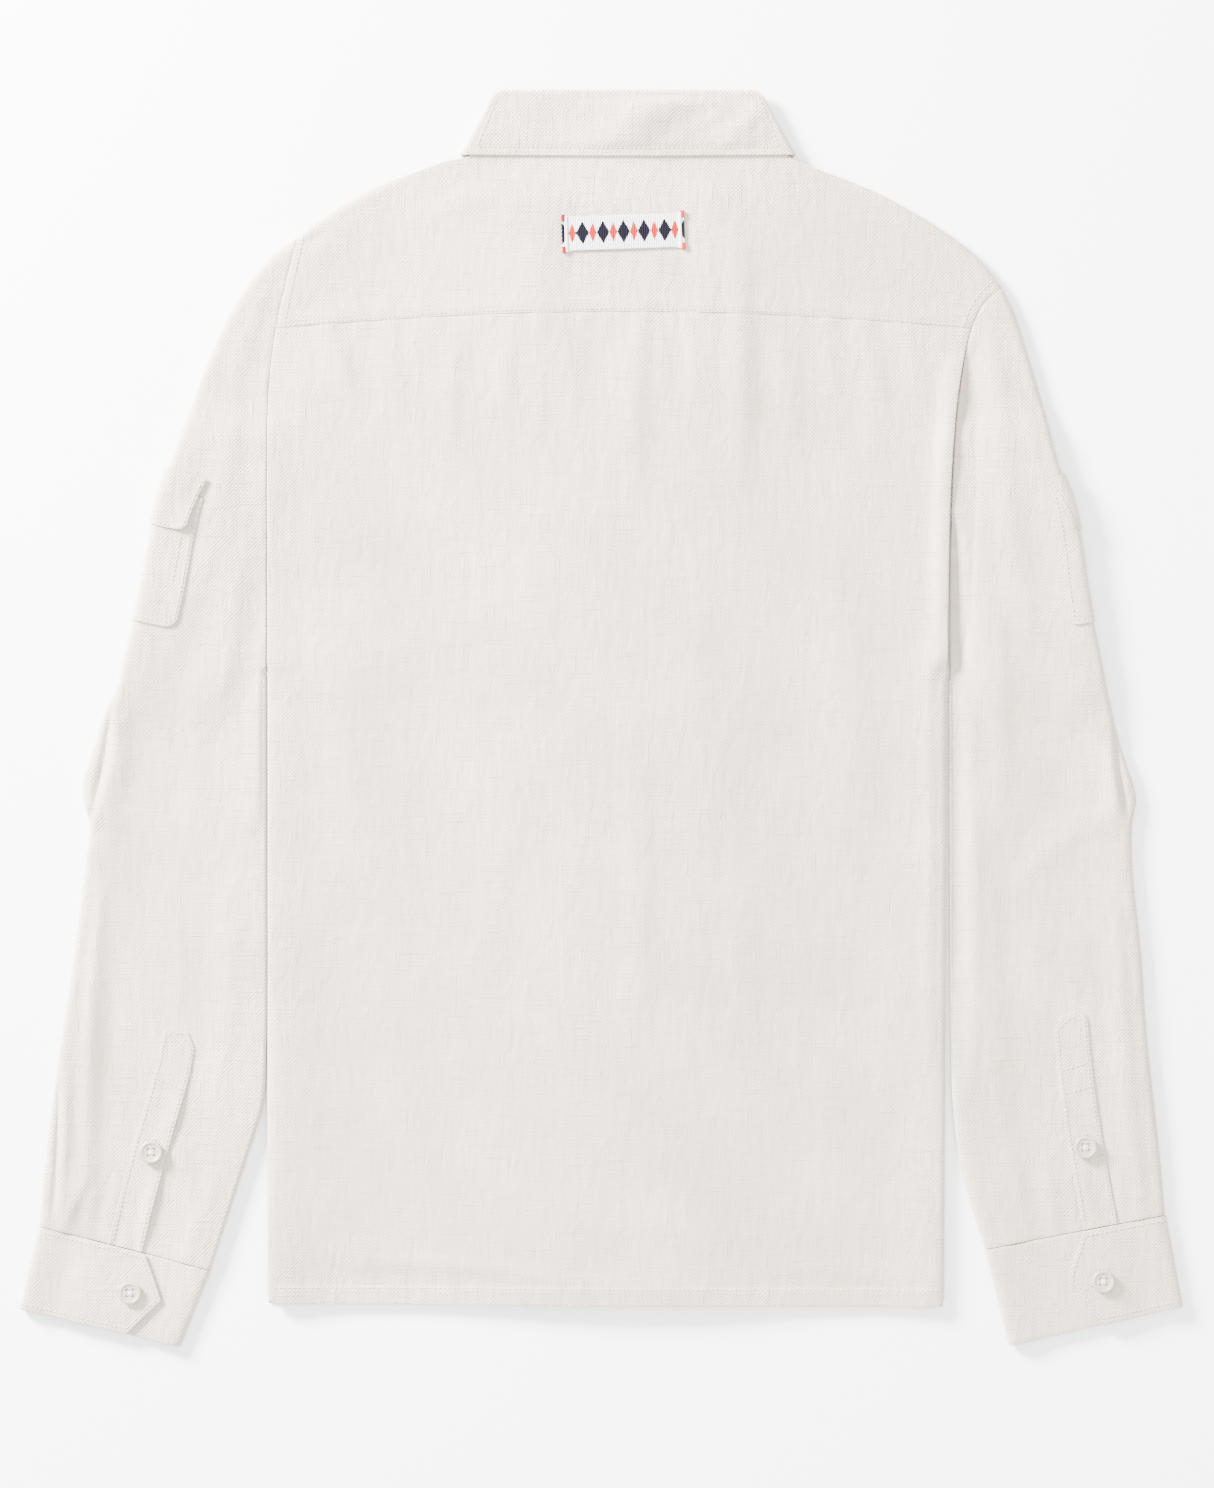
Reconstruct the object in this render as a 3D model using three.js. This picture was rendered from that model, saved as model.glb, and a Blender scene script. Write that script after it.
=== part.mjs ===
// A linen overshirt laid flat on its front, so its back is up. Millimetres, +Z up, +Y towards
// the collar, +X towards the wearer's right. The underside rests at z = 0, and the origin is
// below the middle of the whole outline.
//
// Every cloth piece is a wall of even thickness about a middle surface. A height rule gives
// the middle surface of each layer over any point of the plan: the lower layer lies on the
// ground rule, the upper one lies on the lower, and both meet in a round edge at a fold.

import * as THREE from "three";

const clothThickness = 1.2;
const collarThickness = 1.6;
const cuffThickness = 1.8;
const layerGap = 0.3; // between pieces that lie on each other or meet at a seam
const patchGap = 0.6; // between a panel and what is sewn on it, which spans its facets
const armholeGap = 0.5; // each side of the armhole line keeps this far from it

const flatSpacing = 2.3; // middle of the upper layer above the middle of the lower one
const foldSpacing = 4.8; // the same beside a fold, where the cloth stands up
const foldReach = 22; // how far in from a fold the cloth comes down to flat
const foldRadius = 6; // width of the round edge, seen from above
const foldSeam = { round: 0.35, flat: 0.8 }; // half of the gap between the middles of two walls at a fold

const centreX = 16; // the buttoned front edge and the middle of the collar
const overlapHalf = 17; // half of the overlap of the two fronts
const overlapLift = 1.6; // what the second front adds over the first
const overlapFlat = overlapHalf + 2; // the strip is level as far as this from its middle
const overlapFade = 45; // and its rise is gone at this distance
const buttonFade = 57; // as is the rise that the buttons give
const buttonDiameter = 14;
const buttonThickness = 2.8;
const buttonHole = 1.8;
const holeSpacing = 2.4; // from a button's middle to each hole
const buttonLift = buttonThickness + layerGap; // the fronts lie on their buttons
const collarLift = collarThickness + layerGap; // the fronts lie on the collar points

const cloth = { color: "#e9e5e1", roughness: 0.92, metalness: 0 };
const shell = { color: "#e4dfd6", roughness: 0.38, metalness: 0 };
const ribbon = { color: "#e6e2df", roughness: 0.8, metalness: 0 };

// Outlines, seen from above, from the collar down.
const leftShoulder = [
  [-189, 297], [-169, 312], [-153, 322], [-135, 331], [-111, 340], [-97, 345],
  [-89, 346.4], [-83, 348.2], [-80.5, 351.5],
];
const rightShoulder = [
  [247, 267], [232, 285], [209, 303], [177, 322], [157, 331], [134, 340], [121, 345.6],
  [115, 348.2], [112.5, 351.5],
];
const leftArmhole = [[-189, 297], [-197, 266], [-202, 243], [-206.5, 205], [-207.5, 148], [-207.5, 27]];
const rightArmhole = [[247, 267], [236, 257], [229, 243], [221, 205], [216, 148], [213.5, 24]];
const leftSide = [[-207, 27], [-207, -150], [-207, -362]];
const rightSide = [[213, 24], [212.5, -150], [211.5, -364]];
const yokeLine = { leftX: -202, rightX: 229, endsY: 242, middleY: 252 };
const hem = { leftX: -207, rightX: 211.5, leftY: -362, rightY: -364, frontY: -363 };
const neckOpening = { startY: 312, endY: 350 }; // where the button strip gives way to the neck
const collarPoints = { reach: 165, fade: 50, startY: 160, endY: 215 }; // where they lift the fronts
const pocketLift = { beside: 92, gone: 120, belowY: -15, lowY: 30, highY: 170, aboveY: 200 };
const armholeShare = { back: 0.36, front: 0.41 }; // share of a panel's long edge that is armhole
const armholeBend = 0.3; // share of a sleeve that still follows the armhole's curve
const armholeSlack = 0.12; // and the share over which its seam gap is gone
const bodyWidth = 420;
const sleeveWidth = 150;

// The outer edge runs from the shoulder tip to the cuff, the inner one from the armpit down.
const leftSleeve = {
  side: -1,
  armhole: leftArmhole,
  outer: [
    [-189, 297], [-205, 285], [-221, 266], [-232, 247], [-248, 210], [-261, 173], [-274, 136],
    [-285, 80], [-294, 43], [-300, 18], [-307, 4], [-313, -13], [-321, -41], [-319.5, -55],
    [-316.5, -66], [-319, -87], [-326, -143], [-337, -218], [-342, -255], [-348, -314],
  ],
  inner: [
    [-209.5, 27], [-209.5, -60], [-209.5, -199], [-211, -239], [-215, -255], [-227, -292], [-243, -341],
  ],
};
const rightSleeve = {
  side: 1,
  armhole: rightArmhole,
  outer: [
    [247, 267], [255, 250], [262, 229], [273, 192], [283, 154], [290, 136], [296, 108],
    [300, 80], [307, 43], [314, 9], [321, -19], [330, -49], [327.5, -66], [328, -94],
    [333, -143], [337, -199], [341, -236], [345, -273], [348, -307],
  ],
  inner: [
    [215.5, 24], [215.5, -60], [216.5, -199], [218, -242], [222, -273], [230, -304], [238, -328],
  ],
};

// How far down the outer and the inner edge each cross line of a sleeve starts, in shares.
const sleeveLines = [
  { outer: 0, inner: 0 }, { outer: 0.06, inner: 0.012 }, { outer: 0.13, inner: 0.03 },
  { outer: 0.2, inner: 0.06 }, { outer: 0.27, inner: 0.1 }, { outer: 0.34, inner: 0.15 },
  { outer: 0.41, inner: 0.21 }, { outer: 0.48, inner: 0.28 }, { outer: 0.55, inner: 0.36 },
  { outer: 0.6, inner: 0.43 }, { outer: 0.65, inner: 0.5 }, { outer: 0.72, inner: 0.6 },
  { outer: 0.79, inner: 0.7 }, { outer: 0.86, inner: 0.8 }, { outer: 0.93, inner: 0.9 },
  { outer: 1, inner: 1 },
];

// Soft ridges that the upper layer holds: from one end to the other, half width and height.
const backFolds = [
  { fromX: 84, fromY: 292, toX: 85, toY: 150, width: 11, height: 1.7 },
  { fromX: 25, fromY: 238, toX: 22, toY: 150, width: 10, height: 1.2 },
  { fromX: -24, fromY: 238, toX: -20, toY: 185, width: 10, height: 0.9 },
  { fromX: -88, fromY: 238, toX: -92, toY: 176, width: 11, height: 1.0 },
  { fromX: 118, fromY: 238, toX: 124, toY: 165, width: 10, height: 0.9 },
  { fromX: 165, fromY: 236, toX: 170, toY: 172, width: 10, height: 0.9 },
  { fromX: -162, fromY: 236, toX: -150, toY: 200, width: 11, height: 1.3 },
  { fromX: 86, fromY: -110, toX: 88, toY: -185, width: 11, height: 0.8 },
  { fromX: -150, fromY: -180, toX: -110, toY: -320, width: 16, height: 0.9 },
];
const leftSleeveFolds = [
  { fromX: -224, fromY: 190, toX: -262, toY: 50, width: 11, height: 1.5 },
  { fromX: -222, fromY: 60, toX: -228, toY: -60, width: 10, height: 1.3 },
  { fromX: -300, fromY: -40, toX: -255, toY: -90, width: 11, height: 1.2 },
  { fromX: -300, fromY: -110, toX: -312, toY: -285, width: 9, height: 1.4 },
  { fromX: -232, fromY: -120, toX: -238, toY: -250, width: 9, height: 1.2 },
];
const rightSleeveFolds = [
  { fromX: 240, fromY: 200, toX: 262, toY: 60, width: 11, height: 1.5 },
  { fromX: 232, fromY: 40, toX: 238, toY: -90, width: 10, height: 1.2 },
  { fromX: 312, fromY: -45, toX: 268, toY: -95, width: 11, height: 1.2 },
  { fromX: 312, fromY: -120, toX: 322, toY: -270, width: 9, height: 1.3 },
  { fromX: 246, fromY: -130, toX: 256, toY: -280, width: 9, height: 1.1 },
];

// The collar band, measured from its middle: the back half ends at the side folds, and each
// front half bends in under it to the button.
const collar = {
  seamBackY: 356.3, seamSideY: 353, seamSide: 95,
  topBackY: 387, topSideY: 387, topSide: 80,
  leafBackY: 348.6, leafSideY: 349.2, leafSide: 103.4, leafTopSide: 86.2,
  frontSeam: { bendX: 62, bendY: 296, endX: -15, endY: 279 },
  frontTop: { bendX: 52, bendY: 330, endX: -13, endY: 310 },
  frontLeaf: { bendX: 88, bendY: 335, endX: 48, endY: 250 },
  frontLeafTop: { bendX: 54, bendY: 332, endX: 1, endY: 314 },
  standMiddle: 2.5, // height of the front half's middle, and how far above it the back half is
  standSpacing: 2.3,
  leafMiddle: 0.8,
  leafSpacing: 5.7,
  hookReach: 1.7,
  standRadius: 2, leafRadius: 4, // width of the side folds, seen from above
  overlapStart: 5, overlapEnd: 30, // distance from the fold where the second front lifts the stand
  hookStart: 3, hookEnd: 12, // distance from the fold where the leaf's hook begins and is whole
};

const mix = THREE.MathUtils.lerp;
const smooth = THREE.MathUtils.smoothstep;

// Even shares from 0 to 1.
function evenly(count) {
  return Array.from({ length: count }, (_, i) => i / (count - 1));
}

// A smooth line through points of the plan, as an even polyline, and a point at a share of it.
function smoothLine(points, steps = 60) {
  const curve = new THREE.CatmullRomCurve3(
    points.map(([x, y]) => new THREE.Vector3(x, y, 0)), false, "centripetal",
  );
  const line = curve.getSpacedPoints(steps);
  return {
    line,
    at: (share) => curve.getPointAt(THREE.MathUtils.clamp(share, 0, 1)),
    tangent: (share) => curve.getTangentAt(THREE.MathUtils.clamp(share, 0, 1)),
  };
}

// Distance in the plan from a point to the nearest stretch of a polyline.
function distanceTo(line, x, y) {
  let nearest = Infinity;
  for (let i = 1; i < line.length; i++) {
    nearest = Math.min(nearest, distanceToStretch(line[i - 1].x, line[i - 1].y, line[i].x, line[i].y, x, y));
  }
  return nearest;
}

function distanceToStretch(fromX, fromY, toX, toY, x, y) {
  const alongX = toX - fromX;
  const alongY = toY - fromY;
  const share = ((x - fromX) * alongX + (y - fromY) * alongY) / (alongX * alongX + alongY * alongY);
  const held = THREE.MathUtils.clamp(share, 0, 1);
  return Math.hypot(x - fromX - held * alongX, y - fromY - held * alongY);
}

// Height that a table of soft ridges adds at a point.
function ridges(folds, x, y) {
  let height = 0;
  for (const fold of folds) {
    const away = distanceToStretch(fold.fromX, fold.fromY, fold.toX, fold.toY, x, y);
    height += fold.height * Math.exp(-((away / fold.width) ** 2));
  }
  return height;
}

// One where the collar's points lie under the fronts, and zero well away from them.
function nearCollar(x, y) {
  const inside = smooth(collarPoints.reach - Math.abs(x - centreX), 0, collarPoints.fade);
  return inside * smooth(y, collarPoints.startY, collarPoints.endY);
}

// One over the button strip, zero at the given distance from its middle.
function nearStrip(x, gone) {
  return 1 - smooth(Math.abs(x - centreX), overlapFlat, gone);
}

// One below the neck opening, zero in it, where the button strip has ended.
function belowNeck(y) {
  return 1 - smooth(y, neckOpening.startY, neckOpening.endY);
}

// The floor's height under the fronts: they lie on their buttons and on the collar points.
function bodyGround(x, y) {
  return Math.max(buttonLift * nearStrip(x, buttonFade) * belowNeck(y), collarLift * nearCollar(x, y));
}

// Heights of the middles of a lower and an upper layer whose folded edges are given lines.
function layerRule(foldLines, ground, spare, folds) {
  return (x, y) => {
    let away = Infinity;
    for (const line of foldLines) away = Math.min(away, distanceTo(line, x, y));
    const inner = Math.max(away, foldRadius);
    const puff = (foldSpacing - flatSpacing) * Math.exp(-(((inner - foldRadius) / foldReach) ** 2));
    const spacing = flatSpacing + puff * (1 - nearCollar(x, y)) + spare(x, y);
    const base = ground(x, y) + clothThickness / 2;
    const fade = smooth(away, foldRadius, 3 * foldRadius);
    if (away >= foldRadius) {
      return { low: base, high: base + spacing + fade * ridges(folds, x, y) };
    }
    const rise = Math.sqrt(Math.max(0, 1 - (1 - away / foldRadius) ** 2));
    const half = spacing / 2;
    const roundness = (spacing - flatSpacing) / (foldSpacing - flatSpacing);
    const apart = mix(foldSeam.flat, foldSeam.round, Math.min(1, roundness)) * (1 - rise);
    return { low: base + half * (1 - rise) - apart, high: base + half * (1 + rise) + apart };
  };
}

// A closed wall about a middle surface. surface(across, along) gives its points, and a ring
// joins its last column to its first. lift moves the wall out along its own normal.
function wallGeometry({ surface, across, along, thickness, ring = false, lift = 0 }) {
  const columns = across.length;
  const rows = along.length;
  const middle = along.map((v) => across.map((u) => surface(u, v)));
  const wrap = (i) => (ring ? (i + columns) % columns : THREE.MathUtils.clamp(i, 0, columns - 1));
  const positions = [];
  for (const side of [1, -1]) {
    for (let j = 0; j < rows; j++) {
      for (let i = 0; i < columns; i++) {
        const alongU = middle[j][wrap(i + 1)].clone().sub(middle[j][wrap(i - 1)]);
        const alongV = middle[Math.min(j + 1, rows - 1)][i].clone().sub(middle[Math.max(j - 1, 0)][i]);
        const normal = alongU.cross(alongV).normalize();
        const point = middle[j][i].clone().addScaledVector(normal, lift + (side * thickness) / 2);
        positions.push(point.x, point.y, point.z);
      }
    }
  }
  const outer = (i, j) => j * columns + wrap(i);
  const inner = (i, j) => rows * columns + outer(i, j);
  const index = [];
  const quad = (a, b, c, d) => index.push(a, b, c, a, c, d);
  const lastColumn = ring ? columns : columns - 1;
  for (let j = 0; j < rows - 1; j++) {
    for (let i = 0; i < lastColumn; i++) {
      quad(outer(i, j), outer(i + 1, j), outer(i + 1, j + 1), outer(i, j + 1));
      quad(inner(i, j), inner(i, j + 1), inner(i + 1, j + 1), inner(i + 1, j));
    }
  }
  for (let i = 0; i < lastColumn; i++) {
    quad(outer(i, 0), inner(i, 0), inner(i + 1, 0), outer(i + 1, 0));
    quad(outer(i, rows - 1), outer(i + 1, rows - 1), inner(i + 1, rows - 1), inner(i, rows - 1));
  }
  if (!ring) {
    for (let j = 0; j < rows - 1; j++) {
      quad(outer(0, j), outer(0, j + 1), inner(0, j + 1), inner(0, j));
      const last = columns - 1;
      quad(outer(last, j), inner(last, j), inner(last, j + 1), outer(last, j + 1));
    }
  }
  return facingOut(positions, index);
}

// The mesh with its faces turned outwards, told by the sign of its volume.
function facingOut(positions, index) {
  const corner = (n) => new THREE.Vector3().fromArray(positions, 3 * index[n]);
  let volume = 0;
  for (let n = 0; n < index.length; n += 3) {
    volume += corner(n).dot(corner(n + 1).cross(corner(n + 2)));
  }
  if (volume < 0) {
    for (let n = 0; n < index.length; n += 3) {
      [index[n + 1], index[n + 2]] = [index[n + 2], index[n + 1]];
    }
  }
  const geometry = new THREE.BufferGeometry();
  geometry.setAttribute("position", new THREE.Float32BufferAttribute(positions, 3));
  geometry.setIndex(index);
  geometry.computeVertexNormals();
  return geometry;
}

function addMesh(parent, name, geometry, look) {
  const mesh = new THREE.Mesh(geometry, new THREE.MeshStandardMaterial({ ...look, name }));
  mesh.name = name;
  parent.add(mesh);
  return mesh;
}

const shirt = new THREE.Group();
shirt.name = "shirt";

// Body

const shoulderLines = { left: smoothLine(leftShoulder), right: smoothLine(rightShoulder) };
const armholeLines = { left: smoothLine(leftArmhole), right: smoothLine(rightArmhole) };
const sideLines = { left: smoothLine(leftSide), right: smoothLine(rightSide) };
const bodyFoldLines = [
  shoulderLines.left.line, shoulderLines.right.line, sideLines.left.line, sideLines.right.line,
];
const secondFront = (x, y) => overlapLift * nearStrip(x, overlapFade + overlapHalf) * belowNeck(y);
const bodyLayers = layerRule(bodyFoldLines, bodyGround, secondFront, backFolds);

function yokeSeam(share) {
  const x = mix(yokeLine.leftX, yokeLine.rightX, share);
  const bow = 1 - (2 * share - 1) ** 2;
  return new THREE.Vector3(x, mix(yokeLine.endsY, yokeLine.middleY, bow), 0);
}

// The point where an armhole line crosses a height of the plan, as a share of the line.
function shareAtY(line, y) {
  let low = 0;
  let high = 1;
  for (let step = 0; step < 30; step++) {
    const middle = (low + high) / 2;
    if (line.at(middle).y > y) low = middle;
    else high = middle;
  }
  return low;
}

// One long edge of the body from a share of its armhole, past the armpit, to the hem.
function bodyEdge(armhole, side, startShare, armpitShare) {
  return (along) => {
    if (along <= armpitShare) return armhole.at(mix(startShare, 1, along / armpitShare));
    return side.at((along - armpitShare) / (1 - armpitShare));
  };
}

// A patch between four edges of the plan: it blends the two pairs of opposite edges.
function patch(top, bottom, left, right) {
  return (across, along) => {
    const point = new THREE.Vector3();
    point.addScaledVector(left(along), 1 - across).addScaledVector(right(along), across);
    point.addScaledVector(top(across), 1 - along).addScaledVector(bottom(across), along);
    point.addScaledVector(top(0), -(1 - across) * (1 - along));
    point.addScaledVector(top(1), -across * (1 - along));
    point.addScaledVector(bottom(0), -(1 - across) * along);
    point.addScaledVector(bottom(1), -across * along);
    return point;
  };
}

// Shares across a panel that lie close together in the round edges at both ends.
function foldStations(width, between) {
  const start = [0, 0.13, 0.5, 1, 2.2, 4].map((radii) => (radii * foldRadius) / width);
  const end = start.map((share) => 1 - share).reverse();
  const middle = evenly(between + 2).slice(1, -1).map((share) => mix(start[start.length - 1], end[0], share));
  return [...start, ...middle, ...end];
}

// Share of each armhole line where the yoke seam meets it.
const yokeEnd = {
  left: shareAtY(armholeLines.left, yokeLine.endsY),
  right: shareAtY(armholeLines.right, yokeLine.endsY),
};

const backPlan = patch(
  yokeSeam,
  (across) => new THREE.Vector3(mix(hem.leftX, hem.rightX, across), mix(hem.leftY, hem.rightY, across), 0),
  bodyEdge(armholeLines.left, sideLines.left, yokeEnd.left, armholeShare.back),
  bodyEdge(armholeLines.right, sideLines.right, yokeEnd.right, armholeShare.back),
);

// Moves a point of the plan in from both armholes, so that the sleeves have their seam gap.
function insideArmholes(point, across, gap) {
  point.x += mix(gap, -gap, across);
  return point;
}

function backSurface(across, along) {
  const point = insideArmholes(backPlan(across, along), across, armholeGap);
  if (along === 0) point.y -= layerGap / 2;
  point.z = bodyLayers(point.x, point.y).high;
  return point;
}

addMesh(shirt, "back_panel", wallGeometry({
  surface: backSurface,
  across: foldStations(bodyWidth, 13),
  along: [0, 0.04, 0.09, 0.14, 0.2, 0.26, 0.31, 0.345, 0.375, 0.43, 0.51, 0.6, 0.69, 0.78, 0.86, 0.93, 1],
  thickness: clothThickness,
}), cloth);

// The yoke's upper edge: a shoulder, the neck seam, the other shoulder.
const neckShare = { left: 0.26, right: 0.72 };

function yokeTop(share) {
  if (share < neckShare.left) return shoulderLines.left.at(share / neckShare.left);
  if (share > neckShare.right) return shoulderLines.right.at((1 - share) / (1 - neckShare.right));
  const alongNeck = (share - neckShare.left) / (neckShare.right - neckShare.left);
  const bow = 1 - (2 * alongNeck - 1) ** 2;
  const x = centreX + mix(-collar.seamSide, collar.seamSide, alongNeck);
  return new THREE.Vector3(x, mix(collar.seamSideY, collar.seamBackY, bow) - layerGap, 0);
}

const yokePlan = patch(
  yokeTop,
  yokeSeam,
  (along) => armholeLines.left.at(along * yokeEnd.left),
  (along) => armholeLines.right.at(along * yokeEnd.right),
);

function yokeSurface(across, along) {
  const point = insideArmholes(yokePlan(across, along), across, armholeGap);
  if (along === 1) point.y += layerGap / 2;
  point.z = bodyLayers(point.x, point.y).high;
  return point;
}

addMesh(shirt, "yoke", wallGeometry({
  surface: yokeSurface,
  across: [
    0, 0.06, 0.12, 0.18, 0.22, 0.248, 0.26, 0.3, 0.36, 0.42, 0.48, 0.54, 0.6, 0.66, 0.72, 0.735, 0.77,
    0.83, 0.89, 0.95, 1,
  ],
  along: [0, 0.008, 0.03, 0.06, 0.15, 0.35, 0.55, 0.78, 1],
  thickness: clothThickness,
}), cloth);

// Fronts: from the side to the middle, under the back

const shoulderColumns = [0, 0.015, 0.05, 0.12, 0.22, 0.32, 0.42, 0.475];
const neckColumns = [0, 0.18, 0.36, 0.54, 0.7, 0.85, 1];
const neckGap = 0.5; // between a front's curved neck edge and the collar stand
const neckStart = 0.5; // share across a front where its shoulder ends and its neck edge starts

// A front half of the collar's edge, from its side fold to its end at the middle.
function frontCurve(side, startX, startY, curve) {
  const point = (x, y) => new THREE.Vector2(centreX + side * x, y);
  const bezier = new THREE.QuadraticBezierCurve(
    point(startX, startY), point(curve.bendX, curve.bendY), point(curve.endX, curve.endY),
  );
  return (share) => {
    const at = bezier.getPoint(share);
    return new THREE.Vector3(at.x, at.y, 0);
  };
}

const seamInFront = (side) => frontCurve(side, collar.seamSide, collar.seamSideY, collar.frontSeam);

function frontPlan(side, shoulder, armhole, sideLine, hemCornerY) {
  const neck = seamInFront(side);
  const centreEdge = centreX - side * overlapHalf;
  return patch(
    (across) => {
      if (across < neckStart) return shoulder.at(across / neckStart);
      const share = (across - neckStart) / (1 - neckStart);
      const point = neck(share);
      point.x += side * neckGap * (1 - share);
      point.y -= neckGap;
      return point;
    },
    (across) => new THREE.Vector3(
      mix(sideLine.at(1).x, centreEdge, across), mix(hemCornerY, hem.frontY, across), 0,
    ),
    bodyEdge(armhole, sideLine, 0, armholeShare.front),
    (along) => new THREE.Vector3(mix(neck(1).x, centreEdge, along), mix(neck(1).y - neckGap, hem.frontY, along), 0),
  );
}

// Both fronts overlap at the middle, and the second lies on the first.
function overlapRise(side, x) {
  return side > 0 ? overlapLift * (1 - smooth(x - centreX, overlapFlat, overlapFade)) : 0;
}

for (const front of [
  { key: "left", side: -1, hemCornerY: hem.leftY },
  { key: "right", side: 1, hemCornerY: hem.rightY },
]) {
  const { key } = front;
  const plan = frontPlan(front.side, shoulderLines[key], armholeLines[key], sideLines[key], front.hemCornerY);
  addMesh(shirt, key + "_front", wallGeometry({
    surface: (across, along) => {
      const point = plan(across, along);
      point.x -= front.side * armholeGap * (1 - across);
      point.z = bodyLayers(point.x, point.y).low + overlapRise(front.side, point.x);
      return point;
    },
    across: [...shoulderColumns, ...neckColumns.map((share) => mix(neckStart, 1, share))],
    along: [0, 0.006, 0.02, 0.05, 0.1, 0.15, 0.2, 0.26, 0.33, 0.4, 0.46, 0.64, 0.82, 1],
    thickness: clothThickness,
  }), cloth);
}

// Collar

// Height of the collar's middle, in its front or its back half, with a round fold between them.
function collarHeight(fromFold, inFront, low, spacing, radius) {
  if (fromFold >= radius) return inFront ? low : low + spacing;
  const rise = Math.sqrt(Math.max(0, 1 - (1 - fromFold / radius) ** 2));
  return low + (spacing / 2) * (inFront ? 1 - rise : 1 + rise);
}

// A point on one edge of the collar: way runs from -1 at the left end in front, over -0.5 at
// the left side fold and 0 at the middle of the back, to 1 at the right end in front.
function collarEdge(way, backY, sideX, sideY, frontHalf) {
  const side = Math.sign(way) || 1;
  const reach = Math.abs(way);
  if (reach > 0.5) return frontCurve(side, sideX, sideY, frontHalf)(2 * reach - 1);
  const bow = 1 - (2 * reach) ** 2;
  return new THREE.Vector3(centreX + side * 2 * reach * sideX, mix(sideY, backY, bow), 0);
}

const collarWays = [
  -1, -0.925, -0.85, -0.77, -0.68, -0.59, -0.52, -0.506, -0.5, -0.494, -0.48, -0.42, -0.33, -0.22, -0.11,
];
const allWays = [...collarWays, 0, ...collarWays.map((way) => -way).reverse()];

function standSurface(way, up) {
  const foot = collarEdge(way, collar.seamBackY, collar.seamSide, collar.seamSideY, collar.frontSeam);
  const head = collarEdge(way, collar.topBackY, collar.topSide, collar.topSideY, collar.frontTop);
  const point = foot.lerp(head, up);
  const fromFold = Math.abs(Math.abs(way) - 0.5) * 2 * collar.seamSide;
  const inFront = Math.abs(way) > 0.5;
  const low = collar.standMiddle;
  point.z = collarHeight(fromFold, inFront, low, collar.standSpacing, collar.standRadius);
  if (inFront) {
    const ground = bodyGround(point.x, point.y) + clothThickness / 2;
    const overlap = overlapRise(Math.sign(way), point.x);
    point.z += Math.max(0, ground - low) + overlap * smooth(fromFold, collar.overlapStart, collar.overlapEnd);
  }
  return point;
}

addMesh(shirt, "collar_stand", wallGeometry({
  surface: standSurface,
  across: allWays,
  along: [0, 0.5, 1],
  thickness: clothThickness,
}), cloth);

// The leaf lies flat from its lower edge to the top, and hooks over the back of the stand.
function leafSurface(way, up) {
  const foot = collarEdge(way, collar.leafBackY, collar.leafSide, collar.leafSideY, collar.frontLeaf);
  const head = collarEdge(way, collar.topBackY, collar.leafTopSide, collar.topSideY, collar.frontLeafTop);
  const rising = head.clone().sub(foot).normalize();
  const point = foot.lerp(head, Math.min(up, 1));
  const fromFold = Math.abs(Math.abs(way) - 0.5) * 2 * collar.leafSide;
  const inFront = Math.abs(way) > 0.5;
  point.z = collarHeight(fromFold, inFront, collar.leafMiddle, collar.leafSpacing, collar.leafRadius);
  const turn = Math.max(0, up - 1) * (Math.PI / 2);
  const hooked = inFront ? 0 : smooth(fromFold, collar.hookStart, collar.hookEnd);
  point.addScaledVector(rising, collar.hookReach * Math.sin(turn));
  point.z -= hooked * collar.hookReach * (1 - Math.cos(turn));
  return point;
}

addMesh(shirt, "collar_leaf", wallGeometry({
  surface: leafSurface,
  across: allWays,
  along: [0, 0.33, 0.66, 1, 1.5, 2],
  thickness: collarThickness,
}), cloth);

// Sleeves

// The pockets and their flaps lie under part of each sleeve and lift it.
function pocketGround(outerLine) {
  return (x, y) => {
    const besideEdge = 1 - smooth(distanceTo(outerLine, x, y), pocketLift.beside, pocketLift.gone);
    const rise = smooth(y, pocketLift.belowY, pocketLift.lowY) * (1 - smooth(y, pocketLift.highY, pocketLift.aboveY));
    return 2 * (clothThickness + patchGap) * besideEdge * rise;
  };
}

function sleeveRule(sleeve, folds) {
  const outer = smoothLine(sleeve.outer, 90);
  const inner = smoothLine(sleeve.inner, 50);
  const armhole = smoothLine(sleeve.armhole);
  const layers = layerRule([outer.line, inner.line], pocketGround(outer.line), () => 0, folds);
  const lines = sleeveLines.length - 1;
  const shareOf = (key, along) => {
    const from = Math.min(Math.floor(along * lines), lines - 1);
    return mix(sleeveLines[from][key], sleeveLines[from + 1][key], along * lines - from);
  };
  const plan = (share, along) => {
    const point = outer.at(shareOf("outer", along)).lerp(inner.at(shareOf("inner", along)), share);
    const bend = armhole.at(share).sub(armhole.at(0).lerp(armhole.at(1), share));
    point.addScaledVector(bend, Math.max(0, 1 - along / armholeBend));
    point.x += sleeve.side * armholeGap * Math.max(0, 1 - along / armholeSlack);
    return point;
  };
  const top = (share, along) => {
    const point = plan(share, along);
    point.z = layers(point.x, point.y).high;
    return point;
  };
  // Across runs from 0 to 1 over the top and from 2 to 3 back along the underside.
  const around = (across, along) => {
    if (across <= 1) return top(across, along);
    const point = plan(3 - across, along);
    point.z = layers(point.x, point.y).low;
    return point;
  };
  // A point reached from the outer edge: a share down it and a signed distance, above or below.
  const wrapped = (signed, share) => {
    const point = outer.at(share);
    const tangent = outer.tangent(share);
    point.x += sleeve.side * tangent.y * Math.abs(signed);
    point.y -= sleeve.side * tangent.x * Math.abs(signed);
    const { low, high } = layers(point.x, point.y);
    if (signed === 0) point.z = (low + high) / 2;
    else point.z = signed > 0 ? high : low;
    return point;
  };
  return { side: sleeve.side, outer, layers, top, around, wrapped };
}

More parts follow.
